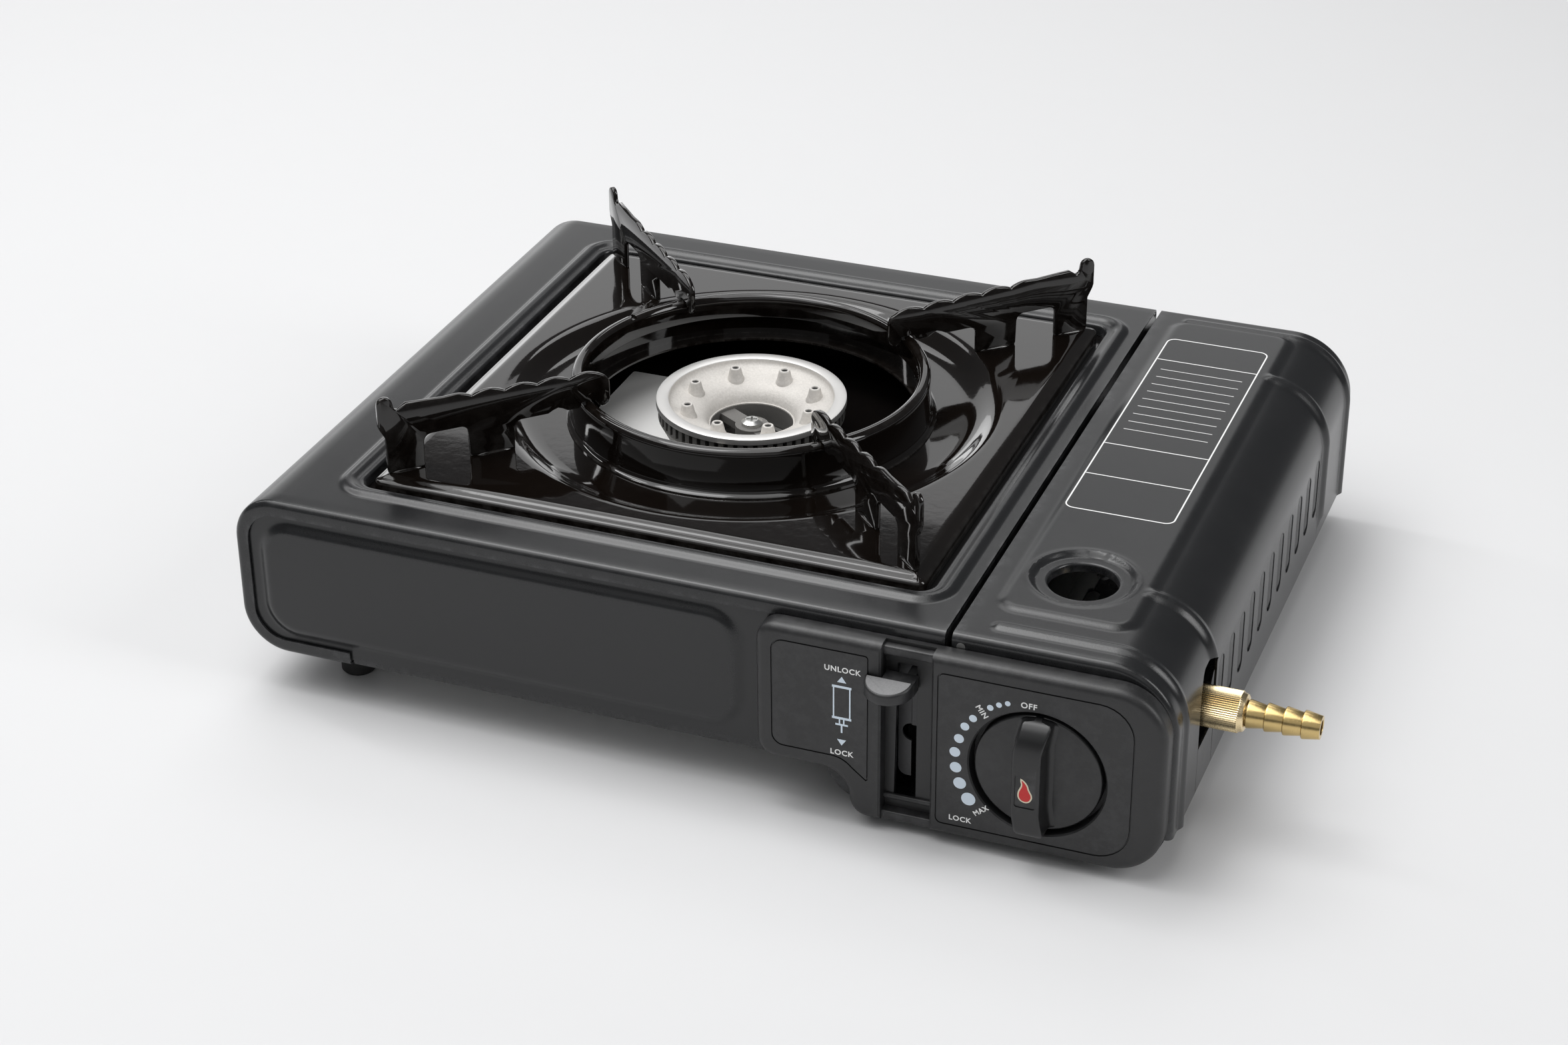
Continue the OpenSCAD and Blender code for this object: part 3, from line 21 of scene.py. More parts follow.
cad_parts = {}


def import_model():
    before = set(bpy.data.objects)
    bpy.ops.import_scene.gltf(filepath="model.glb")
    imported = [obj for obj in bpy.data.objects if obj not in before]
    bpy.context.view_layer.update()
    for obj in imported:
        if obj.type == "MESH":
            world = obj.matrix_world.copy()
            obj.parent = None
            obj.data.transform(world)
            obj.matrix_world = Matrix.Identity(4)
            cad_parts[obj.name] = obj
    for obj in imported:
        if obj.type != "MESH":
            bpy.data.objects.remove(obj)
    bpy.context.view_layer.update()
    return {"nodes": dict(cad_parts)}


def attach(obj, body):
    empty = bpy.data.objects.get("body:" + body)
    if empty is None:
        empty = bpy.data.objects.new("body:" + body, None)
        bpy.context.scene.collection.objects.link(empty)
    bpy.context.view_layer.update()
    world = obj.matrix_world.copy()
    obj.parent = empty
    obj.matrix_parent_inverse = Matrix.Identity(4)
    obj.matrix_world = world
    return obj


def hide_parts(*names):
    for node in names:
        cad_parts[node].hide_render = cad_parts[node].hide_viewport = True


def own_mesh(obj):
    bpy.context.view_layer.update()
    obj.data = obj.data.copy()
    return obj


LOG = logging.getLogger("stove")
MM = 0.001
BURNER_AXIS = Vector((-45.5, 9.9, 0.0))

DECK_Z = 77.7
TRAY_Z = 79.5
DISH_Z = 74.1
SHEET = 0.8
HALF_D = 130.0
FACE_Y = -137.8
FASCIA_BACK = -130.4
KNOB_X, KNOB_Z = 153.8, 35.7
FITTING_Y, FITTING_Z = -90.0, 43.5

Point = tuple[float, float, float]
Flat = tuple[float, float]


# ---------------------------------------------------------------- shapes in the plane


class Along(Enum):
    """Axis across a flat outline. The outline is given in the other two, in their order."""

    X = 0
    Y = 1
    Z = 2


def arc(cx: float, cy: float, r: float, start: float, end: float, steps: int = 10) -> list[Flat]:
    """Points along an arc.

    Args:
        cx: Centre along the first axis.
        cy: Centre along the second axis.
        r: Radius.
        start: First angle, in degrees.
        end: Last angle, in degrees.
        steps: Number of chords.

    Returns:
        The points, both ends included.
    """
    turns = [math.radians(start + (end - start) * i / steps) for i in range(steps + 1)]
    return [(cx + r * math.cos(a), cy + r * math.sin(a)) for a in turns]


def round_box(
    low_x: float, high_x: float, low_y: float, high_y: float, radii: float | Sequence[float], steps: int = 10
) -> list[Flat]:
    """Outline of a rectangle with round corners, turning left.

    Args:
        low_x: Left side.
        high_x: Right side.
        low_y: Lower side.
        high_y: Upper side.
        radii: One radius, or those of the lower left, lower right, upper right and upper left corners.
        steps: Number of chords in a corner.

    Returns:
        The outline, with no point twice.
    """
    a, b, c, d = (radii,) * 4 if isinstance(radii, float) else radii
    out = arc(low_x + a, low_y + a, a, 180, 270, steps)
    out += arc(high_x - b, low_y + b, b, 270, 360, steps)
    out += arc(high_x - c, high_y - c, c, 0, 90, steps)
    out += arc(low_x + d, high_y - d, d, 90, 180, steps)
    return clean(out)


def rect(left: float, right: float, low: float, high: float) -> list[Flat]:
    """Outline of a rectangle with sharp corners, turning left.

    Args:
        left: Left side.
        right: Right side.
        low: Lower side.
        high: Upper side.

    Returns:
        The outline.
    """
    return [(left, low), (right, low), (right, high), (left, high)]


def loop(outline: Iterable[Flat], at: float, along: Along = Along.Z) -> list[Point]:
    """Points of a flat outline in one plane.

    Args:
        outline: The outline.
        at: Place of the plane.
        along: Axis across the plane.

    Returns:
        The points.
    """
    k = along.value
    return [(*p[:k], at, *p[k:]) for p in outline]


def quarter(r: float, steps: int) -> list[Flat]:
    """Section of a rounded edge.

    Args:
        r: Radius of the rounding.
        steps: Number of chords.

    Returns:
        Distances from the side and from the end face, from the side to the end face.
    """
    turns = [math.radians(90 * i / steps) for i in range(steps + 1)]
    return [(r * (1 - math.cos(a)), r * (1 - math.sin(a))) for a in turns]


def clean(outline: Sequence[Flat], gap: float = 1e-4) -> list[Flat]:
    """Outline with points that lie on each other left out.

    Args:
        outline: The points.
        gap: Least distance between neighbours.

    Returns:
        The cleaned outline.
    """
    out: list[Flat] = []
    for p in outline:
        if not out or math.dist(p, out[-1]) > gap:
            out.append(p)
    if len(out) > 1 and math.dist(out[0], out[-1]) <= gap:
        out.pop()
    return out


def inset(outline: Sequence[Flat], by: float) -> list[Flat]:
    """Moves a left-turning outline inward.

    Args:
        outline: The outline.
        by: Distance, or outward where it is negative.

    Returns:
        The moved outline, with as many points.
    """
    n = len(outline)
    out: list[Flat] = []
    for i in range(n):
        (ax, ay), (bx, by_), (cx, cy) = outline[i - 1], outline[i], outline[(i + 1) % n]
        u = Vector((bx - ax, by_ - ay)).normalized()
        v = Vector((cx - bx, cy - by_)).normalized()
        normal = Vector((-u.y - v.y, u.x + v.x))
        scale = max(normal.length_squared / 2, 0.3)
        out.append((bx + normal.x * by / scale, by_ + normal.y * by / scale))
    return out


def box_distance(x: float, y: float, half_x: float, half_y: float, r: float) -> float:
    """Distance to the outline of a round-cornered rectangle at the origin, negative inside.

    Args:
        x: Place along the first axis.
        y: Place along the second axis.
        half_x: Half of the width.
        half_y: Half of the depth.
        r: Radius of the corners.

    Returns:
        The signed distance.
    """
    qx, qy = abs(x) - half_x + r, abs(y) - half_y + r
    return math.hypot(max(qx, 0.0), max(qy, 0.0)) + min(max(qx, qy), 0.0) - r


def ridge(distance: float, half: float, height: float) -> float:
    """Height of a pressed bead at a distance from its middle line.

    Args:
        distance: Distance from the middle line.
        half: Half of the bead's width.
        height: Height of its crown.

    Returns:
        The height there.
    """
    if abs(distance) >= half:
        return 0.0
    return height * (0.5 + 0.5 * math.cos(math.pi * distance / half)) ** 0.85


def step_up(distance: float, width: float) -> float:
    """Smooth step from 0 at a distance of 0 to 1 at the given width.

    Args:
        distance: Distance past the foot of the step.
        width: Width of the slope.

    Returns:
        The share of the step's height.
    """
    t = min(max(distance / width, 0.0), 1.0)
    return t * t * (3 - 2 * t)


def spread(
    low: float, high: float, hot: Sequence[tuple[float, float]], fine: float = 0.7, coarse: float = 11.0
) -> list[float]:
    """Places from low to high that are close together round the hot ones.

    Args:
        low: First place.
        high: Last place.
        hot: Pairs of a centre and half of the width round it that is finely divided.
        fine: Spacing inside.
        coarse: Widest spacing outside.

    Returns:
        The places.
    """
    out, x = [low], low
    while x < high - 1e-6:
        away = min(abs(x - c) - w for c, w in hot)
        x = min(high, x + (fine if away <= 0 else min(coarse, fine + 0.6 * away)))
        if high - x < fine * 0.4:
            x = high
        out.append(x)
    return out


# ---------------------------------------------------------------- meshes


class Draft:
    """Collects points in millimetres, and the faces between them."""

    def __init__(self) -> None:
        """Starts empty."""
        self.points: list[Point] = []
        self.faces: list[tuple[int, ...]] = []

    def row(self, points: Iterable[Sequence[float]]) -> list[int]:
        """Adds points.

        Args:
            points: The points.

        Returns:
            Their numbers.
        """
        first = len(self.points)
        self.points.extend((float(p[0]), float(p[1]), float(p[2])) for p in points)
        return list(range(first, len(self.points)))

    def bridge(self, a: Sequence[int], b: Sequence[int], closed: bool = False) -> None:
        """Adds four-sided faces between two rows.

        Args:
            a: First row.
            b: Second row, as long.
            closed: Whether the rows are loops.
        """
        n = len(a)
        for i in range(n if closed else n - 1):
            j = (i + 1) % n
            self.faces.append((a[i], a[j], b[j], b[i]))

    def skin(self, rows: Sequence[Iterable[Sequence[float]]], closed: bool = False) -> list[list[int]]:
        """Adds rows of points with faces between them.

        Args:
            rows: The rows.
            closed: Whether each row is a loop.

        Returns:
            The numbers of the points, row by row.
        """
        made = [self.row(r) for r in rows]
        for a, b in zip(made, made[1:]):
            self.bridge(a, b, closed)
        return made

    def loft(self, rows: Sequence[Iterable[Sequence[float]]]) -> Draft:
        """Adds a closed solid through loops of points, with a face on each end.

        Args:
            rows: The loops, in order.

        Returns:
            This draft.
        """
        made = self.skin(rows, closed=True)
        self.faces += [tuple(reversed(made[0])), tuple(made[-1])]
        return self

    def tube(self, rows: Sequence[Iterable[Sequence[float]]]) -> Draft:
        """Adds a ring-shaped solid: loops of points, the last joined to the first.

        Args:
            rows: The loops, in order.

        Returns:
            This draft.
        """
        made = self.skin(rows, closed=True)
        self.bridge(made[-1], made[0], closed=True)
        return self

    def revolve(self, profile: Sequence[Flat], steps: int) -> Draft:
        """Adds a closed profile turned round the Z axis.

        Args:
            profile: Radius and height of each point. A radius of 0 at both ends closes the solid.
            steps: Number of sides.

        Returns:
            This draft.
        """
        turns = [2 * math.pi * i / steps for i in range(steps)]
        tipped = profile[0][0] < 1e-9 and profile[-1][0] < 1e-9
        swept = profile[1:-1] if tipped else profile
        rows = [[(r * math.cos(a), r * math.sin(a), z) for a in turns] for r, z in swept]
        if not tipped:
            return self.tube(rows)
        made = self.skin(rows, closed=True)
        for (_, z), ring in ((profile[0], made[0]), (profile[-1], made[-1])):
            tip = self.row([(0, 0, z)])[0]
            self.faces += [(tip, ring[i], ring[(i + 1) % steps]) for i in range(steps)]
        return self

    def place(self, matrix: Matrix) -> Draft:
        """Moves every point.

        Args:
            matrix: The movement.

        Returns:
            This draft.
        """
        self.points = [tuple(matrix @ Vector(p)) for p in self.points]
        return self

    def join(self, other: Draft) -> None:
        """Adds another draft's points and faces.

        Args:
            other: The other draft.
        """
        first = len(self.points)
        self.points.extend(other.points)
        self.faces.extend(tuple(i + first for i in f) for f in other.faces)

    def solid(self, name: str) -> bpy.types.Object:
        """Makes an object, still in millimetres, with its faces turned outward.

        Args:
            name: Name of the object.

        Returns:
            The object.
        """
        mesh = bpy.data.meshes.new(name)
        mesh.from_pydata(self.points, [], self.faces)
        bm = bmesh.new()
        bm.from_mesh(mesh)
        bmesh.ops.recalc_face_normals(bm, faces=bm.faces)
        bm.to_mesh(mesh)
        bm.free()
        return add_object(name, mesh)


class Facing(Enum):
    """Where a draft that is built looking up is turned, by the axis of its quarter turn."""

    FRONT = "X"
    RIGHT = "Y"

    def matrix(self, at: Sequence[float]) -> Matrix:
        """Movement from a draft that looks up.

        Args:
            at: Where its origin goes.

        Returns:
            The movement.
        """
        return Matrix.Translation(Vector(at)) @ Matrix.Rotation(math.pi / 2, 4, self.value)


def add_object(name: str, data: bpy.types.ID) -> bpy.types.Object:
    """Adds an object to the scene.

    Args:
        name: Its name.
        data: Its mesh, curve, lamp or camera.

    Returns:
        The object.
    """
    thing = bpy.data.objects.new(name, data)
    bpy.context.scene.collection.objects.link(thing)
    return thing


def prism(outline: Sequence[Flat], low: float, high: float, along: Along = Along.Z) -> Draft:
    """Solid with the given outline between two planes.

    Args:
        outline: The outline.
        low: First plane.
        high: Second plane.
        along: Axis across the planes.

    Returns:
        The draft.
    """
    return Draft().loft([loop(outline, at, along) for at in (low, high)])


def thick_sheet(grid: np.ndarray, out: np.ndarray, thickness: float, closed: bool = False) -> Draft:
    """Gives a net of points the thickness of its sheet.

    Args:
        grid: Points of the outer face, as rows, columns and XYZ.
        out: Rough outward direction at each point.
        thickness: Thickness of the sheet, which goes inward.
        closed: Whether each row is a loop.

    Returns:
        The draft of the closed sheet.
    """
    across = np.gradient(grid, axis=0)
    if closed:
        along = np.roll(grid, -1, axis=1) - np.roll(grid, 1, axis=1)
    else:
        along = np.gradient(grid, axis=1)
    normal = np.cross(across, along)
    normal /= np.maximum(np.linalg.norm(normal, axis=2, keepdims=True), 1e-9)
    normal *= np.sign(np.sum(normal * out, axis=2, keepdims=True) + 1e-12)
    inner = grid - normal * thickness
    draft = Draft()
    a = draft.skin(list(grid), closed)
    b = draft.skin(list(inner), closed)
    draft.bridge(a[0], b[0], closed)
    draft.bridge(a[-1], b[-1], closed)
    if not closed:
        draft.bridge([r[0] for r in a], [r[0] for r in b])
        draft.bridge([r[-1] for r in a], [r[-1] for r in b])
    return draft


def settle(thing: bpy.types.Object) -> None:
    """Applies an object's modifiers to its mesh.

    Args:
        thing: The object.
    """
    bpy.context.view_layer.update()
    graph = bpy.context.evaluated_depsgraph_get()
    mesh = bpy.data.meshes.new_from_object(thing.evaluated_get(graph))
    old = thing.data
    thing.modifiers.clear()
    thing.data = mesh
    bpy.data.meshes.remove(old)


def carve(thing: bpy.types.Object, *cutters: Draft, keep: bool = False) -> None:
    """Cuts drafts out of an object.

    Args:
        thing: The object.
        *cutters: What to cut out, which may overlap.
        keep: Keeps only what lies inside the cutters.
    """
    tools = []
    for cutter in cutters:
        tool = cutter.solid("cutter")
        cut = thing.modifiers.new("cut", "BOOLEAN")
        cut.operation = "INTERSECT" if keep else "DIFFERENCE"
        cut.solver = "EXACT"
        cut.object = tool
        tools.append(tool)
    settle(thing)
    for tool in tools:
        mesh = tool.data
        bpy.data.objects.remove(tool)
        bpy.data.meshes.remove(mesh)


def shade(mesh: bpy.types.Mesh, angle: float) -> None:
    """Shades a mesh smooth up to an angle between faces.

    Args:
        mesh: The mesh.
        angle: The angle, in degrees.
    """
    bm = bmesh.new()
    bm.from_mesh(mesh)
    limit = math.radians(angle)
    for face in bm.faces:
        face.smooth = True
    for edge in bm.edges:
        edge.smooth = len(edge.link_faces) == 2 and edge.calc_face_angle(0.0) < limit
    bm.to_mesh(mesh)
    bm.free()


def finish_piece(
    thing: bpy.types.Object,
    body: str,
    slot: str,
    finish: Finish,
    stands_for: Sequence[str] = (),
    angle: float = 32.0,
) -> bpy.types.Object:
    """Moves a piece into the frame, dresses it and hangs it on its body.

    Args:
        thing: The piece, in millimetres round the burner's axis.
        body: Body that carries it.
        slot: Its material slot; not used.
        finish: Its finish.
        stands_for: CAD nodes that it replaces.
        angle: Largest angle between faces that is shaded smooth.

    Returns:
        The piece.
    """
    thing.name = thing.name.lower().replace(" ", "_") + "_skin"
    thing.data.transform(Matrix.Scale(MM, 4) @ Matrix.Translation(BURNER_AXIS))
    shade(thing.data, angle)
    thing.data.materials.clear()
    thing.data.materials.append(finish.material())
    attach(thing, body)
    if stands_for:
        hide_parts(*stands_for)
    LOG.info("%s: %d faces on %s", thing.name, len(thing.data.polygons), body)
    return thing


# ---------------------------------------------------------------- effects that finishes share


class Effect:
    """A shader node group with named inputs and outputs."""

    def __init__(self, name: str, inputs: dict[str, float], outputs: Sequence[str]) -> None:
        """Makes the empty group.

        Args:
            name: Name of the group.
            inputs: Name and default of each value that goes in.
            outputs: Name of each value that comes out.
        """
        self.tree = bpy.data.node_groups.new(name, "ShaderNodeTree")
        for key, value in inputs.items():
            socket = self.tree.interface.new_socket(key, in_out="INPUT", socket_type="NodeSocketFloat")
            socket.default_value = value
        for key in outputs:
            self.tree.interface.new_socket(key, in_out="OUTPUT", socket_type="NodeSocketFloat")
        self.source = self.tree.nodes.new("NodeGroupInput")
        self.sink = self.tree.nodes.new("NodeGroupOutput")

    def node(self, kind: str, **settings: object) -> bpy.types.Node:
        """Adds a node.

        Args:
            kind: Type of the node.
            **settings: Values of its properties.

        Returns:
            The node.
        """
        made = self.tree.nodes.new(kind)
        for key, value in settings.items():
            setattr(made, key, value)
        return made

    def link(self, a: bpy.types.NodeSocket, b: bpy.types.NodeSocket) -> None:
        """Joins two sockets.

        Args:
            a: Where the value comes out.
            b: Where it goes in.
        """
        self.tree.links.new(a, b)

    def feed(self, value: object, socket: bpy.types.NodeSocket) -> None:
        """Gives an input its value.

        Args:
            value: Socket to join it to, or number.
            socket: The input.
        """
        if isinstance(value, bpy.types.NodeSocket):
            self.link(value, socket)
        else:
            socket.default_value = value

    def split(self, kind: str, output: str) -> bpy.types.bpy_prop_collection:
        """Adds a node that gives a vector, and takes it apart.

        Args:
            kind: Type of the node.
            output: Name of its vector.

        Returns:
            Sockets of the vector's X, Y and Z.
        """
        parts = self.node("ShaderNodeSeparateXYZ")
        self.link(self.node(kind).outputs[output], parts.inputs[0])
        return parts.outputs

    def math(self, kind: str, a: object, b: object = 0.0, clamp: bool = False) -> bpy.types.NodeSocket:
        """Adds a sum of two values.

        Args:
            kind: The operation.
            a: First socket or number.
            b: Second socket or number.
            clamp: Whether the result stays within 0 and 1.

        Returns:
            The result's socket.
        """
        made = self.node("ShaderNodeMath", operation=kind, use_clamp=clamp)
        self.feed(a, made.inputs[0])
        self.feed(b, made.inputs[1])
        return made.outputs[0]

    def noise(self, scale: object, detail: float, roughness: float = 0.55) -> bpy.types.NodeSocket:
        """Adds noise over the object's own space.

        Args:
            scale: Socket or number: waves in a metre.
            detail: Octaves.
            roughness: Strength of the finer octaves.

        Returns:
            The noise's value.
        """
        place = self.node("ShaderNodeTexCoord")
        made = self.node("ShaderNodeTexNoise")
        self.link(place.outputs["Object"], made.inputs["Vector"])
        self.feed(scale, made.inputs["Scale"])
        made.inputs["Detail"].default_value = detail
        made.inputs["Roughness"].default_value = roughness
        return made.outputs["Fac"]


@cache
def grain_effect() -> bpy.types.NodeTree:
    """Fine grain, as of powder coat, cast metal or moulded plastic.

    Returns:
        The group. Height feeds a Bump, and Shade runs from 0 to 1 about 0.5.
    """
    values = {"Grains per metre": 2500.0, "Coarse share": 0.35}
    effect = Effect("Fine grain", values, ("Height", "Shade"))
    scale = effect.source.outputs["Grains per metre"]
    fine = effect.noise(scale, 2.0)
    wide = effect.noise(effect.math("MULTIPLY", scale, 0.12), 3.0)
    share = effect.source.outputs["Coarse share"]
    lift = effect.math("MULTIPLY", effect.math("SUBTRACT", wide, 0.5), share)
    height = effect.math("ADD", fine, lift)
    cloud = effect.noise(42.0, 4.0)
    both = effect.math("ADD", effect.math("MULTIPLY", fine, 0.5), effect.math("MULTIPLY", cloud, 0.5))
    effect.link(height, effect.sink.inputs["Height"])
    effect.link(both, effect.sink.inputs["Shade"])
    return effect.tree


@cache
def wear_and_highlight_effect() -> bpy.types.NodeTree:
    """Wear along outer edges, broken up so that it is never a clean line. On the enamel the same mask lays a
    painted highlight along the edges.

    Returns:
        The group. Mask is 1 where the edge is worn, and on the enamel where its painted highlight lies.
    """
    effect = Effect("Edge wear", {"Amount": 0.5, "Patches per metre": 160.0}, ("Mask",))
    form = effect.node("ShaderNodeNewGeometry")
    edge = effect.math("SUBTRACT", form.outputs["Pointiness"], 0.505)
    edge = effect.math("MULTIPLY", edge, 14.0, clamp=True)
    patch = effect.noise(effect.source.outputs["Patches per metre"], 6.0, 0.7)
    patch = effect.math("MULTIPLY", effect.math("SUBTRACT", patch, 0.42), 5.0, clamp=True)
    worn = effect.math("MULTIPLY", edge, patch)
    worn = effect.math("MULTIPLY", worn, effect.source.outputs["Amount"], clamp=True)
    effect.link(worn, effect.sink.inputs["Mask"])
    return effect.tree


@cache
def lathe_effect() -> bpy.types.NodeTree:
    """Fine tool marks in rings round a turned piece's axis.

    Returns:
        The group. Height feeds a Bump.
    """
    values = {"Axis X": 0.0, "Axis Y": 0.0, "Rings per metre": 3000.0}
    effect = Effect("Turned rings", values, ("Height",))
    x, y, _ = effect.split("ShaderNodeTexCoord", "Object")
    dx = effect.math("SUBTRACT", x, effect.source.outputs["Axis X"])
    dy = effect.math("SUBTRACT", y, effect.source.outputs["Axis Y"])
    square = effect.math("ADD", effect.math("MULTIPLY", dx, dx), effect.math("MULTIPLY", dy, dy))
    phase = effect.math("MULTIPLY", effect.math("SQRT", square), effect.source.outputs["Rings per metre"])
    wave = effect.math("SINE", effect.math("MULTIPLY", phase, math.tau))
    jitter = effect.noise(900.0, 2.0)
    effect.link(effect.math("MULTIPLY", wave, jitter), effect.sink.inputs["Height"])
    return effect.tree


@cache
def film_effect() -> bpy.types.NodeTree:
    """Thin film of dust and handling marks, thicker on what faces up.

    Returns:
        The group. Mask is the share of film.
    """
    effect = Effect("Dust film", {"Amount": 0.2}, ("Mask",))
    _, _, rise = effect.split("ShaderNodeNewGeometry", "Normal")
    up = effect.math("MULTIPLY", effect.math("ADD", rise, 0.3), 0.77, clamp=True)
    cloud = effect.noise(28.0, 5.0, 0.65)
    cloud = effect.math("MULTIPLY", effect.math("SUBTRACT", cloud, 0.4), 3.0, clamp=True)
    mask = effect.math("MULTIPLY", effect.math("MULTIPLY", up, cloud), effect.source.outputs["Amount"])
    effect.link(mask, effect.sink.inputs["Mask"])
    return effect.tree


# ---------------------------------------------------------------- finishes


@dataclass(frozen=True)
class Finish:
    """One finish of the stove and the numbers that set it apart.

    Attributes:
        name: Name of the material.
        colour: Main colour, linear.
        second: Colour that the main one drifts towards.
        rough: Lowest and highest roughness.
        metallic: Metalness.
        grains: Grains in a metre.
        bump: Depth of the grain, in metres.
        coarse: Share of coarse waves in the grain.
        bare: Colour under the coat, where an edge is worn; on the enamel, the colour of a painted highlight
            along its edges.
        wear_and_highlight: How much of the edges is worn; on the enamel, how much carries that painted
            highlight.
        film: Share of dust and handling marks.
        rings: Tool rings in a metre, or 0.
        axis: Axis of the rings, in metres.
        coat: Weight of the clear coat.
        coat_rough: Roughness of the clear coat.
        specular: Specular level.
        ior: Refractive index of the surface and of its clear coat.
    """

    name: str
    colour: tuple[float, float, float]
    second: tuple[float, float, float]
    rough: tuple[float, float]
    metallic: float = 0.0
    grains: float = 2500.0
    bump: float = 0.00002
    coarse: float = 0.35
    bare: tuple[float, float, float] = (0.3, 0.3, 0.31)
    wear_and_highlight: float = 0.0
    film: float = 0.0
    rings: float = 0.0
    axis: tuple[float, float] = (0.0, 0.0)
    coat: float = 0.0
    coat_rough: float = 0.05
    specular: float = 0.5
    ior: float = 1.5

    def material(self) -> bpy.types.Material:
        """Gives the finish's material, built once.

        Returns:
            The material.
        """
        made = bpy.data.materials.get(self.name)
        return made if made is not None else self._build()

    def _build(self) -> bpy.types.Material:
        """Builds the material.

        Returns:
            The material.
        """
        material = bpy.data.materials.new(self.name)
        material.use_nodes = True
        tree = material.node_tree
        shader = tree.nodes["Principled BSDF"]
        shader.inputs["Metallic"].default_value = self.metallic
        shader.inputs["Specular IOR Level"].default_value = self.specular
        shader.inputs["IOR"].default_value = self.ior
        shader.inputs["Coat IOR"].default_value = self.ior
        shader.inputs["Coat Weight"].default_value = self.coat
        shader.inputs["Coat Roughness"].default_value = self.coat_rough

        def group(effect: bpy.types.NodeTree, **values: float) -> bpy.types.Node:
            """Places a shared effect.

            Args:
                effect: Its node group.
                **values: Its own values, by input name with _ for each space.

            Returns:
                The node.
            """
            node = tree.nodes.new("ShaderNodeGroup")
            node.node_tree = effect
            for word, value in values.items():
                node.inputs[word.replace("_", " ")].default_value = value
            return node

        def blend(kind: str, factor: object, a: object, b: object) -> bpy.types.NodeSocket:
            """Mixes two colours or values.

            Args:
                kind: RGBA or FLOAT.
                factor: Socket or number: share of the second.
                a: First socket or value.
                b: Second socket or value.

            Returns:
                The result's socket.
            """
            node = tree.nodes.new("ShaderNodeMix")
            node.data_type = kind
            pick = [s for s in node.inputs if s.enabled and s.name in ("Factor", "A", "B")]
            for socket, value in zip(pick, (factor, a, b)):
                if isinstance(value, bpy.types.NodeSocket):
                    tree.links.new(value, socket)
                else:
                    socket.default_value = value
            return next(s for s in node.outputs if s.enabled)

        def relief(
            effect: bpy.types.Node, depth: float, under: bpy.types.NodeSocket | None = None
        ) -> bpy.types.NodeSocket:
            """Adds a bump.

            Args:
                effect: Node that gives its height.
                depth: Its depth, in metres.
                under: Normal that it lies on.

            Returns:
                The normal's socket.
            """
            node = tree.nodes.new("ShaderNodeBump")
            node.inputs["Distance"].default_value = depth
            tree.links.new(effect.outputs["Height"], node.inputs["Height"])
            if under is not None:
                tree.links.new(under, node.inputs["Normal"])
            return node.outputs["Normal"]

        grain = group(grain_effect(), Grains_per_metre=self.grains, Coarse_share=self.coarse)
        colour = blend("RGBA", grain.outputs["Shade"], (*self.colour, 1.0), (*self.second, 1.0))
        rough = blend("FLOAT", grain.outputs["Shade"], *self.rough)
        if self.film:
            film = group(film_effect(), Amount=self.film)
            colour = blend("RGBA", film.outputs["Mask"], colour, DUST)
            rough = blend("FLOAT", film.outputs["Mask"], rough, DUST_ROUGH)
        # Edge mask: wear on most finishes; on the enamel a pale painted highlight along the edges.
        if self.wear_and_highlight:
            wear_and_highlight = group(wear_and_highlight_effect(), Amount=self.wear_and_highlight)
            colour = blend("RGBA", wear_and_highlight.outputs["Mask"], colour, (*self.bare, 1.0))
            rough = blend("FLOAT", wear_and_highlight.outputs["Mask"], rough, WORN_ROUGH)
        tree.links.new(colour, shader.inputs["Base Color"])
        tree.links.new(rough, shader.inputs["Roughness"])
        normal = relief(grain, self.bump)
        if self.rings:
            x, y = self.axis
            rings = group(lathe_effect(), Axis_X=x, Axis_Y=y, Rings_per_metre=self.rings)
            normal = relief(rings, RING_DEPTH, normal)
        tree.links.new(normal, shader.inputs["Normal"])
        return material


DUST = (0.32, 0.31, 0.3, 1.0)
DUST_ROUGH = 0.8
WORN_ROUGH = 0.38
RING_DEPTH = 0.00001
AXIS = (BURNER_AXIS.x * MM, BURNER_AXIS.y * MM)

POWDER = Finish(
    "Black powder coat", (0.0105, 0.0108, 0.0115), (0.016, 0.0165, 0.0175), (0.2, 0.3),
    grains=1500, coarse=0.4, wear_and_highlight=0.1, film=0.01,
)
# The enamel's pale edge colour, set through its edge wear, is partly wear and mostly a painted highlight
# along its edges.
ENAMEL = Finish(
    "Brown black enamel", (0.003, 0.002, 0.0015), (0.006, 0.0042, 0.0032), (0.05, 0.09),
    grains=260, coarse=1.0, coat=1.0, coat_rough=0.03, ior=1.36, wear_and_highlight=0.12, bare=(0.2, 0.19, 0.18),
)
WELL_ENAMEL = Finish(
    "Well enamel", (0.0035, 0.003, 0.003), (0.006, 0.005, 0.0045), (0.06, 0.1),
    grains=240, coarse=1.0, coat=0.5, coat_rough=0.04,
)
CAST = Finish(
    "Cast alloy", (0.4, 0.38, 0.355), (0.82, 0.795, 0.76), (0.6, 0.75),
    metallic=0.35, grains=1250, bump=0.0001, coarse=0.8, wear_and_highlight=0.15, bare=(0.8, 0.79, 0.77),
)
# Cast alloy darkened for the burner's body: painted shade inside the burner's central hole and among its
# ports.
PAINTED_SHADE_CAST = Finish(
    "Dark cast alloy", (0.13, 0.125, 0.12), (0.22, 0.215, 0.205), (0.5, 0.65),
    metallic=0.4, grains=1400, bump=0.00006, coarse=0.8,
)
# Near-black finish of the discs in the nozzles' holes: painted shade for the depth of each hole.
PAINTED_BORE_SHADE = Finish("Painted_shade bore", (0.004, 0.004, 0.004), (0.008, 0.008, 0.008), (0.8, 0.9), bump=0.00001)
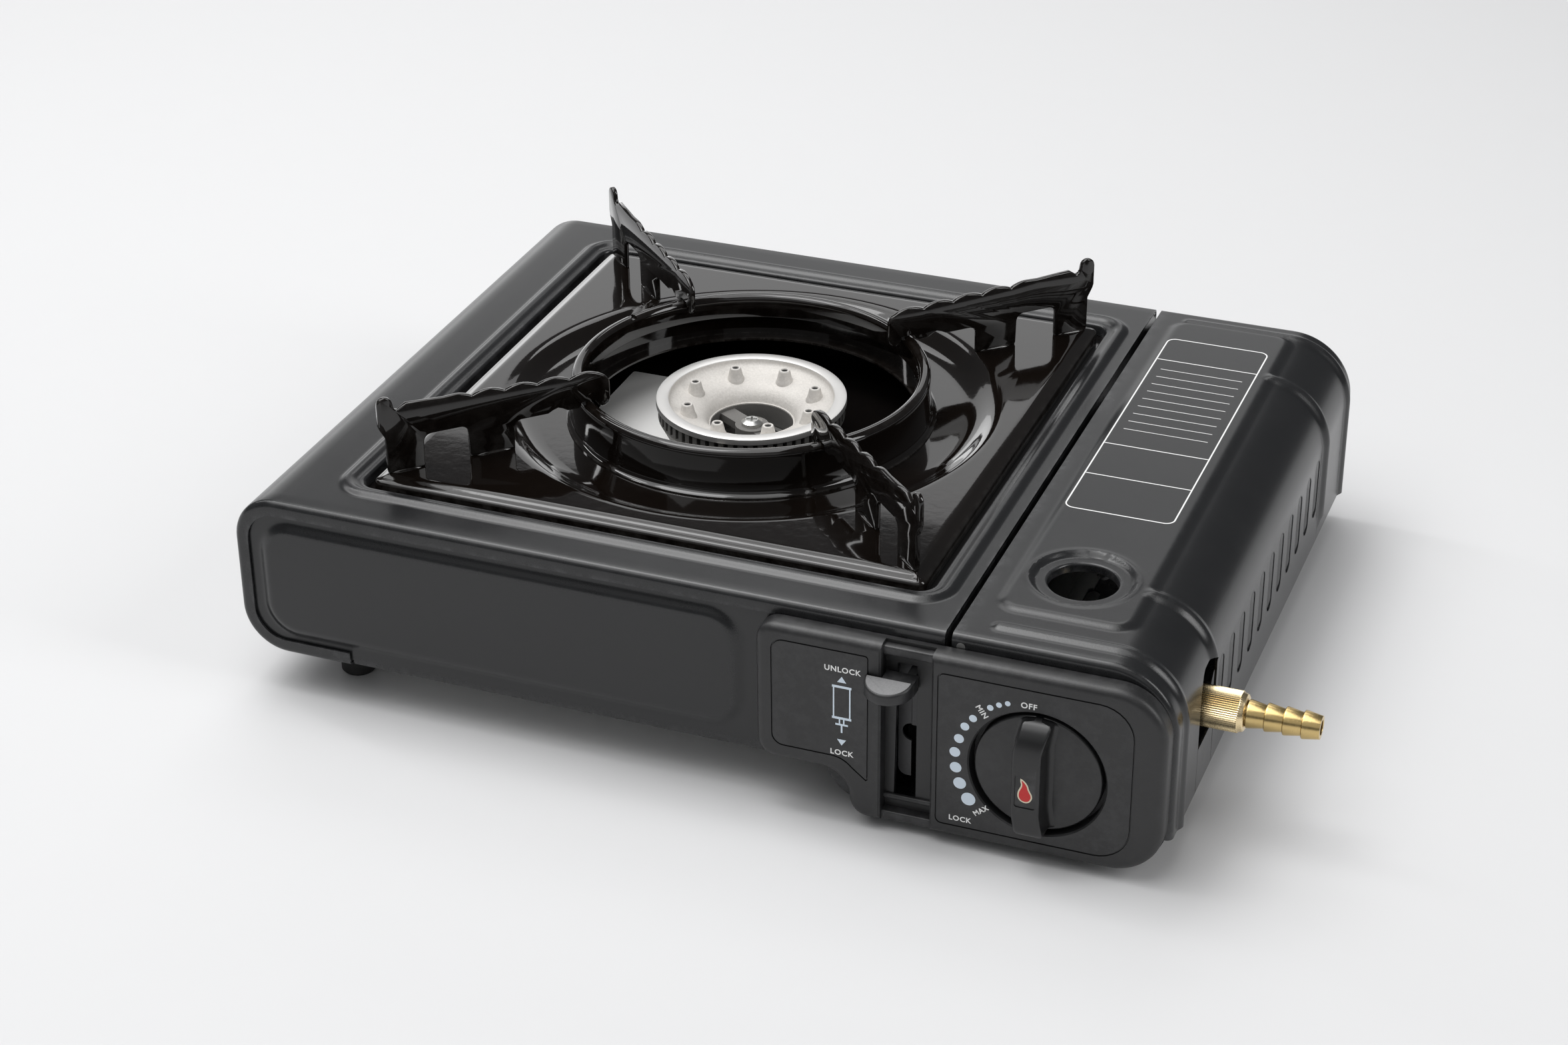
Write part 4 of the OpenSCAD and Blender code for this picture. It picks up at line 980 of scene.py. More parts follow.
# Near-white steel: its colour is raised to paint light on the burner bracket, which sits in the bowl's shade,
# and on the plate in the well.
PAINTED_LIGHT_STEEL = Finish(
    "Painted_light bare steel", (0.84, 0.835, 0.82), (0.93, 0.925, 0.91), (0.34, 0.5),
    metallic=0.15, grains=700, coarse=0.5,
)
MACHINED = Finish(
    "Machined rim", (0.66, 0.65, 0.635), (0.76, 0.75, 0.735), (0.34, 0.44),
    metallic=0.8, grains=2200, bump=0.00001, rings=2600, axis=AXIS,
)
ZINC = Finish(
    "Zinc plated steel", (0.5, 0.5, 0.49), (0.66, 0.66, 0.64), (0.26, 0.42),
    metallic=1.0, grains=900, film=0.04,
)
BRASS = Finish(
    "Machined brass", (0.6, 0.44, 0.18), (0.72, 0.54, 0.25), (0.2, 0.32),
    metallic=1.0, grains=1200, film=0.02,
)
PALE_BRASS = Finish(
    "Plated brass", (0.84, 0.67, 0.39), (0.93, 0.76, 0.47), (0.22, 0.32),
    metallic=1.0, grains=1200,
)
MOULDING = Finish(
    "Moulded plastic", (0.0095, 0.0095, 0.01), (0.0145, 0.0145, 0.0152), (0.38, 0.5),
    grains=1900, bump=0.00004, coarse=0.2, wear_and_highlight=0.08, specular=0.6,
)
KNOB_PLASTIC = Finish(
    "Knob plastic", (0.008, 0.008, 0.0085), (0.012, 0.012, 0.0125), (0.27, 0.36),
    grains=2600, bump=0.00001, coarse=0.2, wear_and_highlight=0.1, specular=0.55,
)
# Pale grey for the lever tab's top only: painted light, a lit copy of the tab's black moulding.
TAB_TOP_PAINTED_LIGHT = Finish(
    "Lever tab plastic", (0.12, 0.12, 0.122), (0.29, 0.29, 0.293), (0.42, 0.55),
    grains=1800, bump=0.00004, coarse=0.2, wear_and_highlight=0.1,
)
PLATE_STEEL = Finish(
    "Dark lever steel", (0.06, 0.06, 0.062), (0.1, 0.1, 0.102), (0.4, 0.55),
    metallic=0.3, grains=900,
)
GUIDE_STEEL = Finish(
    "Grey guide steel", (0.055, 0.055, 0.057), (0.085, 0.085, 0.088), (0.4, 0.55),
    metallic=0.1, grains=900,
)
RUBBER = Finish(
    "Black rubber", (0.014, 0.014, 0.014), (0.022, 0.022, 0.022), (0.7, 0.85),
    grains=1800, bump=0.00004, film=0.05,
)
CERAMIC = Finish(
    "Off white ceramic", (0.72, 0.7, 0.64), (0.8, 0.78, 0.72), (0.25, 0.4), grains=900,
)
PRINT_BLUE = Finish(
    "Pale printed mark", (0.7, 0.8, 0.9), (0.78, 0.88, 0.97), (0.5, 0.62), grains=3000, bump=0.00001,
)
PRINT_WHITE = Finish(
    "White printed line", (0.86, 0.86, 0.85), (0.95, 0.95, 0.94), (0.5, 0.6), grains=3000, bump=0.00001,
)
BADGE_RED = Finish(
    "Badge red", (0.56, 0.012, 0.012), (0.66, 0.02, 0.018), (0.25, 0.35), grains=1500, bump=0.00001,
)
BADGE_CREAM = Finish(
    "Badge cream", (0.76, 0.68, 0.5), (0.84, 0.77, 0.6), (0.3, 0.42), grains=1500, bump=0.00001,
)
FLOOR = Finish(
    "Pale floor", (0.7, 0.7, 0.705), (0.71, 0.71, 0.715), (0.6, 0.7),
    grains=60, bump=0.00001, specular=0.2,
)


# ---------------------------------------------------------------- studio


@dataclass
class Studio:
    """Camera, floor and lamps.

    Attributes:
        focus: Focal length in pixels of the 2353 by 1568 picture.
        azimuth: Camera's bearing, in degrees.
        elevation: Camera's height above the horizon, in degrees.
        roll: Camera's roll, in degrees.
        eye: Camera's place, in millimetres round the burner's axis.
        sensor: Width of the sensor, in millimetres.
        picture: Width of the picture, in pixels.
        floor: Left, right, front and back edges of the floor, in metres.
        cells: Number of the floor's cells each way.
        haze: Strength of the light from all round.
        backdrop: Strength that the background has in the picture above that.
    """

    focus: float = 4619.74
    azimuth: float = 21.43
    elevation: float = 29.42
    roll: float = -0.48
    eye: tuple[float, float, float] = (380.8, -938.4, 597.4)
    sensor: float = 36.0
    picture: int = 2353
    floor: tuple[float, float, float, float] = (-4.0, 4.0, -4.0, 2.15)
    cells: int = 24
    haze: float = 0.12
    backdrop: float = 0.7

    def camera(self) -> None:
        """Sets the camera."""
        a, e, r = (math.radians(v) for v in (self.azimuth, self.elevation, self.roll))
        back = Vector((math.sin(a) * math.cos(e), -math.cos(a) * math.cos(e), math.sin(e)))
        right = (-back).cross(Vector((0, 0, 1))).normalized()
        up = right.cross(-back)
        turned_right = right * math.cos(r) + up * math.sin(r)
        turned_up = up * math.cos(r) - right * math.sin(r)
        data = bpy.data.cameras.new("Camera")
        data.sensor_width = self.sensor
        data.lens = self.focus * self.sensor / self.picture
        data.clip_start = 0.05
        thing = add_object("Camera", data)
        matrix = Matrix((turned_right, turned_up, back)).transposed().to_4x4()
        matrix.translation = (Vector(self.eye) + BURNER_AXIS) * MM
        thing.matrix_world = matrix
        bpy.context.scene.camera = thing

    def lamp(self, name: str, at: Point, size: Flat, power: float, target: Point = (0.0, 0.0, 0.05)) -> None:
        """Adds a soft box.

        Args:
            name: Name of the lamp.
            at: Its place, in metres.
            size: Its width and height, in metres.
            power: Its power, in watts.
            target: The point it faces, in metres.
        """
        data = bpy.data.lights.new(name, "AREA")
        data.shape = "RECTANGLE"
        data.size, data.size_y = size
        data.energy = power
        thing = add_object(name, data)
        thing.location = at
        thing.rotation_euler = (Vector(target) - Vector(at)).to_track_quat("-Z", "Y").to_euler()

    def ground(self) -> None:
        """Lays the floor."""
        left, right, front, back = self.floor
        n = self.cells
        xs = [left + (right - left) * i / n for i in range(n + 1)]
        ys = [front + (back - front) * i / n for i in range(n + 1)]
        draft = Draft()
        draft.skin([[(x, y, 0.0) for y in ys] for x in xs])
        floor = draft.solid("floor_plane")
        floor.data.materials.append(FLOOR.material())

    def world(self) -> None:
        """Sets the light from all round, and the plain background behind the floor."""
        world = bpy.data.worlds.new("Studio world")
        bpy.context.scene.world = world
        world.use_nodes = True
        tree = world.node_tree
        background = tree.nodes["Background"]
        background.inputs["Color"].default_value = (0.75, 0.77, 0.8, 1.0)
        path = tree.nodes.new("ShaderNodeLightPath")
        level = tree.nodes.new("ShaderNodeMath")
        level.operation = "MULTIPLY_ADD"
        level.inputs[1].default_value = self.backdrop
        level.inputs[2].default_value = self.haze
        tree.links.new(path.outputs["Is Camera Ray"], level.inputs[0])
        tree.links.new(level.outputs[0], background.inputs["Strength"])

    def build(self) -> None:
        """Builds the whole studio."""
        self.camera()
        self.ground()
        self.world()
        self.lamp("Key box", (-0.5, -0.25, 1.85), (2.1, 1.9), 30.0)
        self.lamp("Key core", (-0.56, 0.02, 1.8), (0.8, 0.7), 8.0)
        self.lamp("High back box", (-0.55, 1.15, 1.55), (1.3, 0.7), 6.0)
        self.lamp("Back sweep", (-1.25, 2.2, 0.71), (2.5, 1.42), 9.5, (-1.25, 0.0, 0.71))
        self.lamp("Low back box", (-1.9, 2.15, 0.27), (1.4, 0.5), 1.6, (-1.0, 0.0, 0.1))
        self.lamp("Left strip", (-1.35, 0.3, 1.2), (0.1, 1.2), 3.0)
        self.lamp("Right box", (1.5, -0.1, 1.0), (0.5, 1.2), 10.0)
        self.lamp("Front fill", (0.1, -1.8, 1.4), (2.8, 1.4), 5.0)
        bpy.context.scene.view_settings.view_transform = "Standard"


# ---------------------------------------------------------------- pressed steel


@dataclass(frozen=True)
class Station:
    """One place along a bent sheet's path in XZ.

    Attributes:
        x: Place along X.
        z: Place along Z.
        nx: Outward direction along X.
        nz: Outward direction along Z.
        s: Distance along the path.
    """

    x: float
    z: float
    nx: float
    nz: float
    s: float


class SheetPath:
    """Path of a bent sheet, made of straights and bends."""

    def __init__(self, x: float, z: float, hand: int = 1) -> None:
        """Starts the path, with its outward side up.

        Args:
            x: First place along X.
            z: First place along Z.
            hand: 1 for a path that sets off to the right, -1 for one to the left.
        """
        self.stations = [Station(x, z, 0.0, 1.0, 0.0)]
        self.hand = hand

    def straight(self, places: Sequence[float]) -> SheetPath:
        """Runs straight on.

        Args:
            places: Distances from here, in order.

        Returns:
            This path.
        """
        here, hand = self.stations[-1], self.hand
        for d in places:
            x, z = here.x + here.nz * d * hand, here.z - here.nx * d * hand
            self.stations.append(Station(x, z, here.nx, here.nz, here.s + d))
        return self

    def bend(self, r: float, degrees: float, steps: int = 14) -> SheetPath:
        """Bends round, keeping the outward side out.

        Args:
            r: Outside radius.
            degrees: Angle of the bend.
            steps: Number of chords.

        Returns:
            This path.
        """
        here = self.stations[-1]
        cx, cz = here.x - here.nx * r, here.z - here.nz * r
        for i in range(1, steps + 1):
            a = -self.hand * math.radians(degrees) * i / steps
            nx = here.nx * math.cos(a) - here.nz * math.sin(a)
            nz = here.nx * math.sin(a) + here.nz * math.cos(a)
            self.stations.append(Station(cx + nx * r, cz + nz * r, nx, nz, here.s + r * abs(a)))
        return self


@dataclass
class PressedSheet:
    """A bent sheet whose front and back edges turn in, with a relief pressed in its face.

    Attributes:
        path: Its path in XZ.
        ys: Places across it, from front to back, between the bends of the rims.
        relief: Height of the pressing at a station and a place across.
        rim: Depth of the turned-in rims.
        bend: Outside radius of the rims' bends.
    """

    path: SheetPath
    ys: Sequence[float]
    relief: Callable[[Station, float], float]
    rim: float = 5.5
    bend: float = 2.4

    def section(self) -> list[tuple[float, float, float, float]]:
        """Section across the sheet.

        Returns:
            Depth, place across, and outward direction in both, from front to back.
        """
        out: list[tuple[float, float, float, float]] = []
        half, r = HALF_D, self.bend
        for depth in (self.rim, (self.rim + r) / 2):
            out.append((-depth, -half, 0.0, -1.0))
        for i in range(7):
            a = math.radians(15 * i)
            out.append((-r + r * math.sin(a), -half + r - r * math.cos(a), math.sin(a), -math.cos(a)))
        middle = [(0.0, y, 1.0, 0.0) for y in self.ys if -half + r + 0.2 < y < half - r - 0.2]
        mirrored = [(n, -y, dn, -dy) for n, y, dn, dy in reversed(out)]
        return out + middle + mirrored

    def draft(self) -> Draft:
        """Builds the sheet.

        Returns:
            The draft.
        """
        section = self.section()
        grid = np.zeros((len(self.path.stations), len(section), 3))
        out = np.zeros_like(grid)
        for i, st in enumerate(self.path.stations):
            for j, (n, y, dn, dy) in enumerate(section):
                lift = n + (self.relief(st, y) if dn > 0.99 else 0.0)
                grid[i, j] = (st.x + st.nx * lift, y, st.z + st.nz * lift)
                out[i, j] = (st.nx * dn, dy, st.nz * dn)
        return thick_sheet(grid, out, SHEET)


@dataclass
class SteelBody:
    """The deck, side and end panels of the body.

    Attributes:
        left: Body's left side.
        right: Deck's right edge.
        wrap: Radius of the rounded left side.
        opening: Half of the tray opening, along X and Y.
        bead: Half of the bead's loop, along X and Y.
        field: Raised field of the front panel: left, right, lower and upper edges.
        back_field: Raised field of the back panel, likewise.
        flat: Distance from the middle to the panels' faces round their fields.
        rise: Height of the fields.
        reach: Half of the depth that a cutter of the panels spans.
        window: Front panel's opening behind the lever: left, right, lower and upper edges.
        stem: Radius of the knob stem's hole.
        vent: Back panel's first vent, likewise.
        vents: Number of vents.
        pitch: Their spacing.
    """

    left: float = -145.0
    right: float = 119.0
    wrap: float = 17.0
    opening: Flat = (106.2, 107.2)
    bead: Flat = (111.5, 112.5)
    field: tuple[float, float, float, float] = (-136.5, 49.0, 22.8, 70.9)
    back_field: tuple[float, float, float, float] = (-133.5, 107.5, 22.8, 70.9)
    flat: float = 128.9
    rise: float = 1.9
    reach: float = 140.0
    window: tuple[float, float, float, float] = (102.0, 112.5, 10.0, 66.0)
    stem: float = 4.0
    vent: tuple[float, float, float, float] = (133.3, 136.7, 35.7, 59.7)
    vents: int = 6
    pitch: float = 9.0

    def deck_relief(self, st: Station, y: float) -> float:
        """Height of the deck's pressing: one bead round the opening.

        Args:
            st: Station along the shell.
            y: Place across it.

        Returns:
            The height there.
        """
        if st.nz < 0.9 or abs(st.x) > 125:
            return 0.0
        return ridge(box_distance(st.x, y, *self.bead, 10.0), 3.6, 1.5)

    def shell(self) -> bpy.types.Object:
        """Builds the shell's sheet with its opening.

        Returns:
            The object, in millimetres.
        """
        hot = [(111.5, 6.0), (-111.5, 6.0), (103.0, 4.0), (-103.0, 4.0)]
        xs = spread(self.left + self.wrap, self.right, hot)
        path = SheetPath(self.right, DECK_Z, hand=-1)
        path.straight([self.right - x for x in reversed(xs[:-1])]).bend(self.wrap, 90)
        path.straight([6.0, 14.0, 21.0, 27.7]).bend(self.wrap, 90).straight([8.0, 17.0, 25.5])
        ys = spread(-HALF_D, HALF_D, [(112.5, 6.0), (-112.5, 6.0), (104.0, 4.0), (-104.0, 4.0)])
        shell = PressedSheet(path, ys, self.deck_relief).draft().solid("Shell")
        hx, hy = self.opening[0] + 1.6, self.opening[1] + 1.6
        carve(shell, prism(round_box(-hx, hx, -hy, hy, 7.6), 70, 90))
        return shell

    def opening_edge(self) -> Draft:
        """Turned-down edge of the opening, with its rounded lip.

        Returns:
            The draft.
        """
        hx, hy = self.opening
        steps = [(1.62, 0.0), (1.1, -0.08), (0.6, -0.28), (0.2, -0.7), (0.0, -1.3), (0.0, -4.4)]
        steps += [(0.8, -4.4), (0.8, -1.5), (1.0, -1.05), (1.62, -0.8)]
        return Draft().tube([
            loop(round_box(-hx - d, hx + d, -hy - d, hy + d, 6 + d), DECK_Z + dz) for d, dz in steps
        ])

    def end_outline(self) -> list[Flat]:
        """Outline of the end panels in XZ.

        Returns:
            The outline, turning left.
        """
        out = arc(-128.0, 33.0, 14.6, 180, 270)
        out += [(-101.5, 18.4), (-101.3, 16.95), (78.03, 16.95)]
        out += arc(91.0, 18.0, 13.0, 184, 270) + arc(182.6, 18.0, 13.0, 270, 358)
        out += [(196.0, 21.0)] + arc(173.8, 53.1, 22.2, 0, 90, 14)
        out += arc(124.5, 73.5, 2.4, 60, -116, 10) + arc(124.5, 73.5, 5.52, 244, 161, 8)
        out += arc(-128.0, 60.7, 14.6, 90, 180)
        return clean(out)

    def end_panel(self, name: str, field: Sequence[float], side: int) -> bpy.types.Object:
        """Builds an end panel with its raised field.

        Args:
            name: Name of the object.
            field: Left, right, lower and upper edges of the raised field.
            side: -1 at the front and 1 at the back.

        Returns:
            The object, in millimetres.
        """
        left, right, low, high = field
        x_hot = [(left + 3, 5.0), (right - 3, 5.0), (left + 12, 6.0), (right - 12, 6.0)]
        z_hot = [(low + 3, 5.0), (high - 3, 5.0), (low + 12, 5.0), (high - 12, 5.0)]
        xs, zs = spread(-145.0, 197.0, x_hot, 0.9), spread(4.0, 77.5, z_hot, 0.9)
        cx, cz, hw, hh = (left + right) / 2, (low + high) / 2, (right - left) / 2, (high - low) / 2
        grid = np.zeros((len(xs), len(zs), 3))
        out = np.zeros_like(grid)
        out[:, :, 1] = side
        for i, x in enumerate(xs):
            for j, z in enumerate(zs):
                rise = self.rise * step_up(-box_distance(x - cx, z - cz, hw, hh, 14.0), 5.0)
                grid[i, j] = (x, side * (self.flat + rise), z)
        panel = thick_sheet(grid, out, SHEET).solid(name)
        carve(panel, prism(self.end_outline(), -self.reach, self.reach, Along.Y), keep=True)
        return panel

    def build(self) -> None:
        """Builds and dresses the body."""
        dress = partial(finish_piece, body="stove", slot="black_body", finish=POWDER)
        dress(self.shell(), stands_for=["main_shell"], angle=30)
        dress(self.opening_edge().solid("Opening edge"))
        strip = prism(round_box(118.2, 119.0, -128.0, 128.0, 0.2, 2), 71.0, 77.2)
        dress(strip.solid("Deck right flange"))
        front = self.end_panel("Front panel", self.field, -1)
        carve(
            front,
            prism(round_box(*self.window, 0.5, 2), -self.reach, -120, Along.Y),
            prism(arc(KNOB_X, KNOB_Z, self.stem, 0, 352, 44), -self.reach, -120, Along.Y),
        )
        dress(front, stands_for=["front_panel"], angle=30)
        back = self.end_panel("Back panel", self.back_field, 1)
        left, right, low, high = self.vent
        steps = [self.pitch * i for i in range(self.vents)]
        vents = [round_box(left + x, right + x, low, high, (right - left) / 2, 6) for x in steps]
        carve(back, *(prism(vent, 120, self.reach, Along.Y) for vent in vents))
        dress(back, stands_for=["back_panel"], angle=30)


@dataclass
class CartridgeLid:
    """The hinged lid over the cartridge bay.

    Attributes:
        left: Lid's left edge.
        flat: Where its shoulder starts.
        radius: Outside radius of the shoulder.
        foot: Lower edge.
        finger: Centre of the finger hole.
        hole: Radius of that hole.
        pitch: Spacing of the louvres.
        count: Number of louvres.
        slot: Half of a louvre slot's width, and its lower and upper ends.
        field: Height of the label's raised field.
        ribs: Places across of the two ribs that run over the shoulder to the foot.
        beads: Places across of the two shoulder beads.
        dish: Radius and depth of the dish round the finger hole.
    """

    left: float = 121.4
    flat: float = 173.8
    radius: float = 24.0
    foot: float = 15.0
    finger: Flat = (151.5, -82.5)
    hole: float = 11.9
    pitch: float = 14.5
    count: int = 11
    slot: tuple[float, float, float] = (3.2, 29.5, 53.0)
    field: float = 1.25
    ribs: Flat = (-120.2, 121.4)
    beads: Flat = (-84.0, 84.0)
    dish: Flat = (18.2, 1.5)

    def relief(self, st: Station, y: float) -> float:
        """Height of the lid's pressing: label field, ribs, shoulder beads and finger dish.

        Args:
            st: Station along the lid.
            y: Place across it.

        Returns:
            The height there.
        """
        s = self.left + st.s
        field = self.field * step_up(-box_distance(s - 152.4, y - 5.5, 24.9, 116.5, 9.0), 4.2)
        height = field
        for at in self.ribs:
            end = math.hypot(max(134.5 - s, 0.0), y - at)
            height = max(height, ridge(end, 3.4, 1.3))
        first, last = 177.0, 240.0
        for at in self.beads:
            end = math.hypot(max(first - s, s - last, 0.0), y - at)
            height = max(height, ridge(end, 4.4, 1.7) + (field if s < first else 0.0))
        if st.nz > 0.9:
            radius, depth = self.dish
            r = math.hypot(st.x - self.finger[0], y - self.finger[1])
            height -= depth * step_up(radius - r, 2.2)
            height += ridge(r - 18.6, 1.6, 0.25)
        return height

    def slots(self) -> dict[float, list[Flat]]:
        """Slots of the louvres.

        Returns:
            Outline of each slot in YZ, by its middle along Y.
        """
        r, low, high = self.slot
        ys = [self.pitch * (i - (self.count - 1) / 2) for i in range(self.count)]
        return {y: round_box(y - r, y + r, low, high, r, 8) for y in ys}

    def sheet(self) -> bpy.types.Object:
        """Builds the lid's sheet with its holes.

        Returns:
            The object, in millimetres.
        """
        x_hot = [(129.5, 3.0), (134.5, 3.5), (151.5, 20.0)]
        xs = spread(self.left, self.flat, x_hot, 0.8, 6.0)
        path = SheetPath(self.left, DECK_Z)
        path.straight([x - self.left for x in xs[1:]]).bend(self.radius, 90, 40)
        drop = DECK_Z - self.radius - self.foot
        path.straight([drop * i / 8 for i in range(1, 9)])
        y_hot = [(y, 4.5) for y in self.ribs] + [(y, 5.5) for y in self.beads]
        y_hot += [(self.finger[1] - 1.5, 22.0), (-109.0, 3.5), (119.0, 4.0)]
        ys = spread(-HALF_D, HALF_D, y_hot, 0.8)
        sheet = PressedSheet(path, ys, self.relief).draft().solid("Cartridge lid")
        cutters = [prism(arc(*self.finger, self.hole + 1.0, 0, 355, 71), 60, 90)]
        cutters += [prism(slot, 190, 205, Along.X) for slot in self.slots().values()]
        notch = [(FITTING_Y + 10.25, 5.0)] + arc(FITTING_Y + 2.25, 52.0, 8.0, 0, 90, 8)
        notch += arc(FITTING_Y - 2.25, 52.0, 8.0, 90, 180, 8) + [(FITTING_Y - 10.25, 5.0)]
        cutters.append(prism(clean(notch), 185, 215, Along.X))
        carve(sheet, *cutters)
        return sheet

    def finger_lip(self) -> Draft:
        """Turned-down lip round the finger hole.

        Returns:
            The draft.
        """
        z = DECK_Z + self.field - self.dish[1]
        r = self.hole
        profile = [(r + 1.05, z), (r + 0.55, z - 0.08), (r + 0.15, z - 0.4), (r, z - 0.9), (r, z - 3.2)]
        profile += [(r + 0.8, z - 3.2), (r + 0.8, z - 1.1), (r + 1.05, z - 0.8)]
        return Draft().revolve(profile, 96).place(Matrix.Translation((*self.finger, 0)))

    def blades(self) -> Draft:
        """Blades of the louvres, each bent in from its slot's rear edge.

        Returns:
            The draft.
        """
        draft = Draft()
        reach = [(29.6, 0.5), (31.0, 0.9), (33.5, 1.0), (37.0, 1.0), (43.0, 0.85), (48.0, 0.62)]
        reach += [(50.5, 0.4), (52.0, 0.15), (52.9, 0.02)]
        for y in self.slots():
            rows = []
            for z, k in reach:
                across = (0, 0.1, 0.2, 0.35, 0.5, 0.7, 0.9, 1.0)
                outer = [(197.62 - k * 2.6 * t**1.4, y + 3.4 - 6.9 * t, z) for t in across]
                rows.append(outer + [(x - 0.5, b, c) for x, b, c in reversed(outer)])
            draft.loft(rows)
        return draft

    def louvre_lips(self) -> Draft:
        """Low rounded lips pressed up round the louvres' slots.

        Returns:
            The draft.
        """
        draft = Draft()
        steps = [(-0.8, -0.12), (-0.6, 0.03), (-0.35, 0.06), (-0.1, 0.0), (0.0, -0.16), (0.0, -0.6)]
        steps += [(-0.8, -0.6)]
        for slot in self.slots().values():
            draft.tube([loop(inset(slot, by), 197.8 + rise, Along.X) for by, rise in steps])
        return draft

    def label(self) -> Draft:
        """Plain printed panel: a rounded outline and bare ruled lines.

        Returns:
            The draft.
        """
        top = DECK_Z + self.field + 0.03
        under = top - 0.05
        left, right, low, high = 131.0, 170.2, -38.0, 103.0
        outer = round_box(left, right, low, high, 3.5, 8)
        inner = inset(outer, 0.5)
        draft = Draft().tube([loop(outer, top), loop(inner, top), loop(inner, under), loop(outer, under)])
        rules = [(0.4, y, 0.45) for y in (84.0, 12.0, -12.0)] + [(4, 76.0 - 6.4 * i, 0.3) for i in range(9)]
        for gap, y, width in rules:
            draft.join(prism(rect(left + gap, right - gap, y, y + width), under, top))
        return draft

    def build(self) -> None:
        """Builds and dresses the lid."""
        dress = partial(finish_piece, body="lid", slot="black_body", finish=POWDER)
        dress(self.sheet(), stands_for=["cartridge_lid"], angle=30)
        dress(self.finger_lip().solid("Finger lip"), angle=40)
        dress(self.blades().solid("Louvre blades"), angle=40)
        dress(self.louvre_lips().solid("Louvre lips"), angle=60)
        lip = prism(round_box(121.4, 122.2, -127.4, 127.4, 0.2, 2), 73.2, 77.3)
        dress(lip.solid("Lid left lip"))
        dress(self.label().solid("Label outline"), finish=PRINT_WHITE)


# ---------------------------------------------------------------- trivet


@dataclass
class DripTray:
    """The square enamelled tray with its round dish.

    Attributes:
        half: Half of the tray, along X and Y.
        hole: Radius of its central opening.
    """

    half: Flat = (103.0, 104.0)
    hole: float = 60.8

    def outline(self, by: float) -> list[Flat]:
        """Outline of the tray, always with as many points.

        Args:
            by: Distance that it lies inside the tray's edge.

        Returns:
            The outline, turning left.
        """
        hx, hy = self.half[0] - by, self.half[1] - by
        r = max(3.5 - by, 0.4)
        cx, cy = hx - r, hy - r
        corners = ((cx, cy, 0), (-cx, cy, 90), (-cx, -cy, 180), (cx, -cy, 270))
        out: list[Flat] = []
        for k, (cx, cy, start) in enumerate(corners):
            turn = arc(cx, cy, r, start, start + 90, 8)
            ex, ey = arc(*corners[(k + 1) % 4][:2], r, start + 90, start + 180, 8)[0]
            sx, sy = turn[-1]
            out += turn + [(sx + (ex - sx) * i / 36, sy + (ey - sy) * i / 36) for i in range(1, 36)]
        return out

    def build(self) -> None:
        """Builds and dresses the tray."""
        base = self.outline(0.0)
        angles = [math.atan2(y, x) for x, y in base]
        dish = [(self.hole, 74.1), (62.0, 74.1), (78.2, 74.1), (79.0, 74.1), (80.6, 74.2), (82.2, 74.5)]
        dish += [(83.8, 75.05), (85.4, 75.85), (87.0, 76.85), (88.4, 77.75), (89.7, 78.5), (90.8, 79.0)]
        dish += [(91.8, 79.33), (92.8, 79.47), (93.6, 79.5), (94.2, 79.5)]
        border = [(6.6, 79.5), (5.8, 79.5), (5.2, 79.46), (4.4, 79.3), (3.5, 78.95), (2.7, 78.62)]
        border += [(2.0, 78.4), (1.2, 78.2), (0.6, 77.9), (0.2, 77.4), (0.0, 76.8), (0.0, 73.3)]
        rows = [[(r * math.cos(a), r * math.sin(a), z) for a in angles] for r, z in dish]
        rows += [loop(self.outline(by), z) for by, z in border]
        grid = np.array(rows)
        out = np.zeros_like(grid)
        out[:, :, 2] = 1.0
        side = np.array(loop(base, 0.0))
        side /= np.abs(side).max(axis=1, keepdims=True)
        out[-4:] = side[None]
        out[-6:-4] += side[None]
        tray = thick_sheet(grid, out, SHEET, closed=True).solid("Drip tray")
        finish_piece(tray, "trivet", "enamel", ENAMEL, ["drip_tray"], 40)


@dataclass
class WindRing:
    """The round collar with its rolled rim.

    Attributes:
        radius: Outside radius.
        roll: Radius of the rolled rim's section.
        top: Height of the rim.
        skirt: Depth of the inner skirt.
        notch: Bearing of the notch in the rim, in degrees.
    """

    radius: float = 66.2
    roll: float = 2.4
    top: float = 91.85
    skirt: float = 9.0
    notch: float = 157.0

    def build(self) -> None:
        """Builds and dresses the ring."""
        r, w, top = self.radius, self.roll, self.top
        foot = DISH_Z
        profile = [(r + 2.2, foot), (r + 2.2, foot + 0.5), (r + 1.1, foot + 0.9), (r + 0.35, foot + 1.6)]
        profile += [(r, foot + 2.6), (r, top - w - 1.0)]
        profile += arc(r - w, top - w, w, 0, 180, 14)
        profile += [(r - 2 * w, top - self.skirt + 0.3), (r - 2 * w + 0.2, top - self.skirt)]
        profile += [(r - 2 * w + 0.8, top - self.skirt), (r - 2 * w + 0.8, top - w)]
        profile += arc(r - w, top - w, w - 0.8, 180, 0, 10)
        profile += [(r - 0.8, foot + 0.8), (r - 0.8, foot)]
        ring = Draft().revolve(clean(profile), 192).solid("Wind ring")
        a = math.radians(self.notch)
        notch = prism(round_box(-2.2, 2.2, -1.2, 1.2, 0.4, 3), top - 0.9, top + 3)
        at = Matrix.Translation((math.cos(a) * (r - w), math.sin(a) * (r - w), 0))
        carve(ring, notch.place(at @ Matrix.Rotation(a, 4, "Z")))
        finish_piece(ring, "trivet", "enamel", ENAMEL, ["wind_ring"], 40)


